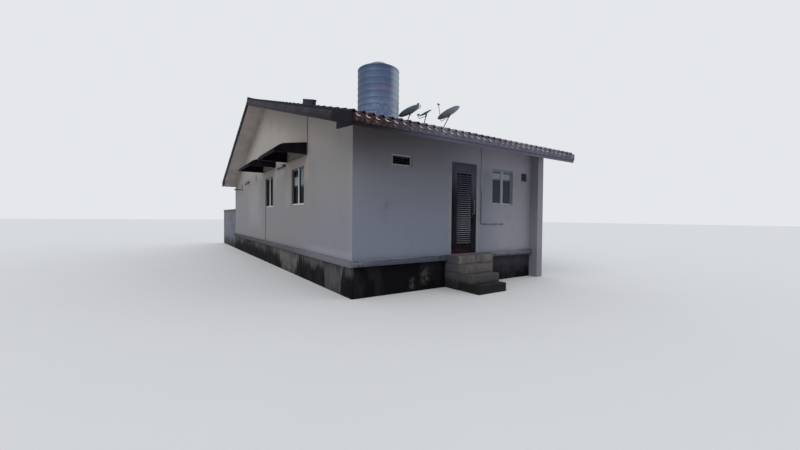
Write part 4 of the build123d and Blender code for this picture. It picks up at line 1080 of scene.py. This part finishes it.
pivots = bmesh.new()
vent_low, vent_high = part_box("vent_blades")
for side in (vent_low.x + 0.006, vent_high.x - 0.006):
    middle = (side, (vent_low.y + vent_high.y) / 2, (vent_low.z + vent_high.z) / 2)
    add_block(pivots, middle, (0.008, 0.046, vent_high.z - vent_low.z - 0.012))
round_edges(pivots, pivots.edges[:], 0.0015, rounds=1)
set_piece("vent_carriers", pivots, rubber, slot="vent_glass")

f = block_cast = Finish("vent_block_cement", roughness=0.9)
f.mottled(f.cloud(0.02, detail=6, rough=0.7), 0.36, 0.64, (52, 54, 60), (76, 78, 84), 0.004)
eased_piece("vent_block_moulded", "vent_block", 0.005, block_cast)


# ---- Rear door
# A welded steel door: box-section stiles, sheet panels at head and foot, flat bars riveted across
# two uprights, a bent pull, a rim lock, and lift-off hinges on a steel frame. The dark paint is
# chipped at the edges, and the kick panel has gone rust red.

f = door_steel = Finish("door_steel_paint", roughness=0.5, gloss=0.05)
patches = f.cloud(0.22, detail=5)
chips = f.cloud(0.018, detail=5, rough=0.7).band(0.64, 0.7)
f.blend(patches.band(0.36, 0.66), (13, 12, 18), (22, 20, 28))
head = (f.z + f.x * 0.5).band(1.95, 2.75)
f.over(head * 0.85, (78, 76, 96))
kick = (f.z + patches * 0.1).band(1.06, 0.9)
f.over(kick * 0.9, (28, 17, 25))
red_foot = (f.z + f.x * 0.1).band(0.86, 0.78) * patches.band(0.35, 0.55)
f.over(red_foot * 0.8, (56, 24, 36))
f.over(chips * 0.35, (84, 70, 68))
f.coat(patches * 0.4 - chips * 0.4, depth=0.0015)
eased_piece("rear_door_frame_welded", "rear_door_frame", 0.0025, door_steel)
eased_piece("grille_leaf_welded", "grille_leaf", 0.0025, door_steel, body="grille_door")

bars_low, bars_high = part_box("grille_bars")
left_upright, right_upright = [bars_low.x + share * (bars_high.x - bars_low.x) for share in (0.22, 0.76)]
f = bar_steel = Finish("bar_steel", roughness=0.5, gloss=0.2)
wear = f.cloud(0.05, detail=5)
# Painted light: the bars are lighter low down and to the right, darker towards the top.
bar_painted_light = (f.z - f.x * 1.1).band(2.2, 1.2)
f.blend(bar_painted_light, (90, 87, 106), (140, 141, 148))
uprights = f.x.near(left_upright, 0.02, 0.015) | f.x.near(right_upright, 0.02, 0.015)
f.over(uprights * 0.85, (46, 44, 56))
f.over(f.z.band(1.35, 1.1) * 0.5, (58, 54, 62))
f.over(wear.band(0.52, 0.7) * 0.6, (62, 58, 62))
f.coat(wear, depth=0.0008)
eased_piece("grille_bars_riveted", "grille_bars", 0.0025, bar_steel, body="grille_door")


def on_wall(*point):
    """The matrix of a stud that points out of the rear wall."""
    return Matrix.Translation(point) @ Matrix.Rotation(math.pi / 2, 4, "X")


rivets = bmesh.new()
bar_gap = (bars_high.z - bars_low.z) / 34
for row in range(1, 34):
    for across in (left_upright, right_upright):
        spot = on_wall(across, bars_low.y - 0.001, bars_low.z + row * bar_gap)
        stud(rivets, spot, 0.004, 0.0045, 0.003)
set_piece("grille_rivets", rivets, bar_steel, slot="grille_paint", body="grille_door")

f = bright_steel = Finish("bright_steel", roughness=0.4, metal=0.8)
scuffs = f.cloud(0.012, detail=5, stretch=(1, 1, 5))
f.mottled(scuffs, 0.38, 0.64, (120, 119, 120), (92, 91, 92), 0.0003)
pull_low, pull_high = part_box("grille_handle")
pull_x = (pull_low.x + pull_high.x) / 2
wall_face = pull_high.y
pull_radius = 0.009
reach = pull_low.y + pull_radius
pull = bmesh.new()
pull_foot, pull_head = pull_low.z + pull_radius, pull_high.z - pull_radius
corners = [(wall_face, pull_foot), (reach, pull_foot), (reach, pull_head), (wall_face, pull_head)]
draw_pipe(pull, [(pull_x, *corner) for corner in corners], pull_radius, 0.024, sides=16)
for height in (pull_foot, pull_head):
    stud(pull, on_wall(pull_x, wall_face - 0.002, height), 0.004, 0.018, 0.016, sides=20)
set_piece("door_pull", pull, bright_steel, ["grille_handle"], body="grille_door", turn_out=True)

lock = bmesh.new()
lock_z = pull_foot - 0.16
add_block(lock, (pull_x + 0.006, wall_face - 0.009, lock_z), (0.070, 0.018, 0.120))
round_edges(lock, lock.edges[:], 0.004)
stud(lock, on_wall(pull_x + 0.006, wall_face - 0.021, lock_z + 0.022), 0.008, 0.013, 0.011, sides=20)
set_piece("rim_lock", lock, door_steel, slot="door_paint", body="grille_door")


# ---- Front door
# A panelled hardwood leaf in a plain frame, oiled rather than painted, with a lever handle on a
# long plate.

f = oiled_wood = Finish("oiled_wood", roughness=0.5)
grain = f.cloud(0.012, detail=6, rough=0.62, stretch=(1, 1, 26), warp=0.5)
f.blend(grain.band(0.32, 0.68), (74, 47, 33), (112, 75, 51))
f.over(f.cloud(0.3, detail=3).band(0.5, 0.7) * 0.4, (70, 44, 32))
f.coat(grain, depth=0.0012)
for node in ("front_door_frame", "front_door_leaf"):
    eased_piece(f"{node}_joined", node, 0.004, oiled_wood)
front_low, front_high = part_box("front_door_leaf")
lever = bmesh.new()
lever_x = front_low.x + 0.062
floor_top = 0.75
lever_z = floor_top + 1.02
add_block(lever, (lever_x, front_high.y + 0.003, lever_z), (0.040, 0.006, 0.220))
round_edges(lever, lever.edges[:], 0.0025)
grip = [(0.0, 0.0), (0.0, 0.045), (0.115, 0.045)]
draw_pipe(lever, [(lever_x + x, front_high.y + y, lever_z + 0.04) for x, y in grip], 0.008, 0.018)
set_piece("front_lever", lever, bright_steel, slot="handle_steel")


# ---- Pipes and conduits
# Grey plastic pipe with solvent elbows, clipped to the render: the overflow on the rear wall, and
# three cable conduits on the gable.

f = pipe_plastic = Finish("pipe_plastic_grey", roughness=0.55)
dirt = f.cloud(0.06, detail=5, stretch=(1, 1, 4))
f.blend(dirt.band(0.36, 0.66), (78, 80, 94), (92, 94, 106))
f.over(f.z.band(2.15, 2.5), (148, 146, 158))
f.over(f.x.band(0.8, 1.6) * 0.5, (118, 119, 128))
f.coat(dirt, depth=0.0006)
pipe_low, pipe_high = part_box("rear_wall_pipe")
pipe_radius = 0.012
pipe_y = pipe_high.y - pipe_radius
pipe_x, pipe_z = pipe_low.x + pipe_radius, pipe_low.z + pipe_radius
run = bmesh.new()
corners = [(pipe_x, pipe_high.z), (pipe_x, pipe_z), (pipe_high.x, pipe_z)]
draw_pipe(run, [(across, pipe_y, height) for across, height in corners], pipe_radius, 0.040, sides=18)


def clip(shape, middle, size):
    """A saddle clip: a small block with eased edges, over a pipe."""
    round_edges(shape, add_block(shape, middle, size), 0.003)


rear_wall = -6.475
clip_y = rear_wall - 0.0135
for height in (2.95, 2.40, 1.85, 1.56):
    clip(run, (pipe_x, clip_y, height), (0.052, 0.027, 0.014))
for across in (pipe_x + 0.14, pipe_x + 0.50, pipe_high.x - 0.05):
    clip(run, (across, clip_y, pipe_z), (0.014, 0.027, 0.052))
set_piece("rear_pipe_clipped", run, pipe_plastic, ["rear_wall_pipe"], turn_out=True)

conduit_radius = 0.009
conduit_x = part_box("gable_conduits")[0].x + conduit_radius
conduits = bmesh.new()
hood_conduit_y = hood_starts[0] - 0.018
for along, foot, top in ((hood_conduit_y, 3.156, 4.112), (0.335, 0.7503, 1.912), (1.825, 2.95, 3.18)):
    draw_pipe(conduits, [(conduit_x, along, foot), (conduit_x, along, top)], conduit_radius, 0.02)
    count = max(1, round((top - foot) / 0.4))
    for number in range(count):
        height = foot + (top - foot) * (number + 0.5) / count
        clip(conduits, (hood_wall - 0.0105, along, height), (0.021, 0.040, 0.012))
f = conduit_plastic = Finish("conduit_plastic_aged", roughness=0.6)
dirt = f.cloud(0.06, detail=5, stretch=(1, 1, 4))
grey = f.lay(dirt.band(0.36, 0.66), (96, 92, 88), (112, 108, 104))
f.blend(f.y.band(1.7, 1.75), grey, (52, 49, 50))
f.coat(dirt, depth=0.0006)
set_piece("conduits_clipped", conduits, conduit_plastic, ["gable_conduits"], turn_out=True)


# ---- Lamps and bracket
# Plastic batten lamps with a thicker gear box at the near end, and a welded steel bracket, all
# screwed to the gable wall.

f = lamp_plastic = Finish("lamp_plastic_shell", roughness=0.5)
f.mottled(f.cloud(0.08, detail=5), 0.38, 0.66, (66, 64, 68), (46, 44, 48), 0.0006)
eased_piece("batten_lamps_closed", "batten_lamps", 0.003, lamp_plastic)
diffusers = bmesh.new()
for start, height in ((-2.105, 3.10), (3.065, 3.01)):
    ends = [(hood_wall - 0.058, along, height) for along in (start + 0.13, start + 0.88)]
    draw_pipe(diffusers, ends, 0.019, 0.02, sides=16)
f = diffuser_plastic = Finish("diffuser_plastic", roughness=0.35)
f.blend(f.cloud(0.05).band(0.4, 0.64), (122, 121, 122), (104, 103, 106))
f.coat()
set_piece("lamp_diffusers", diffusers, diffuser_plastic, slot="lamp_plastic", turn_out=True)

bracket = eased_copy("wall_bracket", 0.003)
for along, height in ((4.615, 2.81), (4.725, 2.81), (4.615, 2.98), (4.725, 2.98)):
    spot = Matrix.Translation((hood_wall - 0.013, along, height))
    stud(bracket, spot @ Matrix.Rotation(-math.pi / 2, 4, "Y"), 0.008, 0.010, sides=6)
set_piece("bracket_welded", bracket, steel_paint, ["wall_bracket"])


# ---- Dishes
# Pressed sheet reflectors with rolled rims, each bolted to a bent mast on a plate over the tiles,
# with a feed horn on an arm.

# The darker paint of dishes 1 and 2 is partly painted shade; dish 3 has the lighter paint.
dish_paint = {}
for name, dull, clear in (
    ("dark", (134, 149, 164), (156, 170, 182)),
    ("light", (164, 175, 188), (180, 190, 201)),
):
    f = Finish(f"dish_paint_{name}", roughness=0.6)
    patches = f.cloud(0.12, detail=5)
    f.blend(patches.band(0.34, 0.66), dull, clear)
    f.over(f.cloud(0.03, detail=6).band(0.6, 0.7) * 0.3, (72, 68, 66))
    dish_paint[name] = f.coat(patches, depth=0.0015)

dish_sideways = Vector((0.611, -0.656, 0.444))
roof_out = rear_place.to_3x3().col[2].normalized()
dish_y = -5.475
dish_roof = rear_eave.z + slope_share * (dish_y - rear_eave.y)
dishes = (
    (-0.837, 0.309, 0.560, -0.905, 0.040, 0.266, 0.0, (-0.347, 0.272, 0.898), "dark"),
    (-0.323, 0.350, 0.340, -0.385, 0.045, -0.175, 180.0, (-0.445, 0.177, 0.878), "dark"),
    (0.459, 0.494, 0.645, 0.245, 0.330, -0.135, 139.0, (-0.325, 0.313, 0.892), "light"),
)


def bowl(distance, sphere, deep):
    """Height of a dish's back over its rim, at a distance from its middle."""
    return sphere - deep - (sphere**2 - distance**2) ** 0.5


f = mast_steel = Finish("mast_steel", roughness=0.55, metal=0.5)
rust = f.cloud(0.04, detail=6, rough=0.65).band(0.5, 0.66)
f.blend(rust, (96, 92, 92), (88, 66, 54))
f.coat(rust, depth=0.0008)
f = feed_plastic = Finish("feed_plastic", roughness=0.5)
f.blend(f.cloud(0.02).band(0.4, 0.62), (28, 28, 32), (52, 52, 56))
f.coat(f.cloud(0.006), depth=0.0004)
f = arm_paint = Finish("arm_paint", roughness=0.5, metal=0.2)
f.blend(f.cloud(0.03, detail=5).band(0.42, 0.64), (116, 116, 84), (84, 80, 66))
f.coat(f.cloud(0.01), depth=0.0005)

mounts, feeds, arms = bmesh.new(), bmesh.new(), bmesh.new()
for number, dish in enumerate(dishes, start=1):
    across, over, wide, foot, reach, offset, arm_turn, faces, paint = dish
    facing = Vector(faces).normalized()
    sideways = (dish_sideways - facing * dish_sideways.dot(facing)).normalized()
    dish_turn = Matrix((sideways, facing.cross(sideways), facing)).transposed().to_4x4()
    rim_centre = Vector((across, dish_y, dish_roof + over))
    rim, deep = wide / 2, wide * 0.085
    sphere = (rim**2 + deep**2) / (2 * deep)
    behind = [(rim - 0.004) * step / 10 for step in range(11)]
    before = [(rim - 0.012) * step / 10 for step in range(9, -1, -1)]
    outline = [(distance, bowl(distance, sphere, deep)) for distance in behind]
    rolled = ((0.0, -0.004), (0.0, 0.001), (0.003, 0.005), (0.008, 0.004), (0.010, 0.001))
    outline += [(rim - inward, height) for inward, height in rolled]
    outline += [(distance, bowl(distance, sphere, deep) + 0.004) for distance in before]
    reflector = spin_round(outline, (0.0, 0.0, 0.0), rounds=72)
    reflector.transform(Matrix.Translation(rim_centre) @ dish_turn)
    set_piece(f"dish_{number}_pressed", reflector, dish_paint[paint], [f"dish_{number}"], smooth=0.7)

    back = rim_centre - facing * deep
    boss_foot = back - facing * 0.026
    foot_point = Vector((foot, dish_y, dish_roof))
    mast_way = (boss_foot - foot_point).normalized()
    plate = Matrix.Translation(foot_point + roof_out * 0.004) @ rear_place.to_3x3().to_4x4()
    round_edges(mounts, add_block(mounts, plate, (0.150, 0.150, 0.008)), 0.003)
    for side, end in ((-1, -1), (-1, 1), (1, -1), (1, 1)):
        spot = plate @ Matrix.Translation((0.052 * side, 0.052 * end, 0.009))
        stud(mounts, spot, 0.010, 0.011, sides=6)
    rod(mounts, foot_point, foot_point + roof_out * 0.032, 0.027)
    rod(mounts, foot_point + mast_way * 0.01, boss_foot + facing * 0.006, 0.012)
    rod(mounts, boss_foot - mast_way * 0.060, boss_foot - mast_way * 0.010, 0.016)
    rod(mounts, boss_foot, back, 0.028, 0.024)
    bolt_way = facing.cross(mast_way).normalized()
    for side in (-1, 1):
        spot = boss_foot - mast_way * 0.035 + bolt_way * 0.014 * side
        rod(mounts, spot, spot + bolt_way * 0.016 * side, 0.007, sides=6)

    feed_point = rim_centre + facing * reach + sideways * offset
    rim_way = Matrix.Rotation(math.radians(arm_turn), 3, facing) @ sideways
    arm_root = boss_foot - mast_way * 0.026
    arm_corner = rim_centre + rim_way * (rim + 0.050) - facing * 0.050
    arm = arms if number == 3 else mounts
    draw_pipe(arm, [arm_root, arm_corner, feed_point], 0.007, 0.030, sides=12)
    half_feed = (back - feed_point).normalized() * 0.030
    feed_end = feed_point - half_feed
    rod(feeds, feed_end, feed_point + half_feed * 0.6, 0.021)
    rod(feeds, feed_point + half_feed * 0.6, feed_point + half_feed, 0.024, 0.022)
    rod(feeds, feed_end, feed_end - Vector((0, 0, 0.022)), 0.008, sides=10)
mount_slot = slot_of["dish_mounts"]
set_piece("dish_masts", mounts, mast_steel, ["dish_mounts"], turn_out=True)
set_piece("feed_horns", feeds, feed_plastic, slot=mount_slot, turn_out=True)
set_piece("feed_arm", arms, arm_paint, slot=mount_slot, turn_out=True)


# ---- Floor, light and camera
# A plain pale floor, an even sky and two soft suns. The camera stands off the rear corner, so that
# the gable with its hoods and the rear door are seen together.

f = floor_paint = Finish("studio_floor", roughness=0.9)
f.blend(f.cloud(3.0), (206, 206, 206), (210, 210, 210))
f.coat()
floor_shape = bmesh.new()
bmesh.ops.create_grid(floor_shape, x_segments=2, y_segments=2, size=160.0)
make_object("floor", floor_shape, floor_paint)

world = bpy.data.worlds.new("studio")
bpy.context.scene.world = world
world.use_nodes = True
nodes, links = world.node_tree.nodes, world.node_tree.links
background = nodes["Background"]
background.inputs["Color"].default_value = (0.82, 0.86, 0.93, 1.0)
background.inputs["Strength"].default_value = 0.9
backdrop = nodes.new("ShaderNodeBackground")
backdrop.inputs["Color"].default_value = (0.78, 0.80, 0.83, 1.0)
rays = nodes.new("ShaderNodeLightPath")
seen = rays.outputs["Is Camera Ray"]
for ray in ("Is Glossy Ray", "Is Transmission Ray"):
    either = nodes.new("ShaderNodeMath")
    either.operation = "MAXIMUM"
    links.new(seen, either.inputs[0])
    links.new(rays.outputs[ray], either.inputs[1])
    seen = either.outputs[0]
choose = nodes.new("ShaderNodeMixShader")
links.new(seen, choose.inputs["Fac"])
links.new(background.outputs[0], choose.inputs[1])
links.new(backdrop.outputs[0], choose.inputs[2])
links.new(choose.outputs[0], nodes["World Output"].inputs["Surface"])


def soft_sun(name, way, strength, spread, colour):
    """A soft sun that shines along a direction."""
    light = bpy.data.lights.new(name, "SUN")
    light.energy = strength
    light.angle = spread
    light.color = colour
    lamp = put_in(name, light)
    lamp.rotation_mode = "QUATERNION"
    lamp.rotation_quaternion = Vector(way).to_track_quat("-Z", "Y")


soft_sun("key_light", (0.75, 0.35, -0.75), 1.1, 0.7, (1.0, 0.98, 0.95))
soft_sun("fill_light", (-0.70, 0.45, -0.45), 0.4, 0.9, (0.94, 0.97, 1.0))

camera_data = bpy.data.cameras.new("camera")
camera_data.sensor_width = 36.0
camera_data.lens = 15.75
camera = put_in("camera", camera_data)
right = Vector((0.82741, -0.56151, 0.00944)).normalized()
forward = Vector((0.56158, 0.82716, -0.02083)).normalized()
above = right.cross(forward).normalized()
right = forward.cross(above).normalized()
turn = Matrix((right, above, -forward)).transposed().to_4x4()
camera.matrix_world = Matrix.Translation((-5.879, -12.553, 1.592)) @ turn
bpy.context.scene.camera = camera
bpy.context.scene.view_settings.view_transform = "Standard"
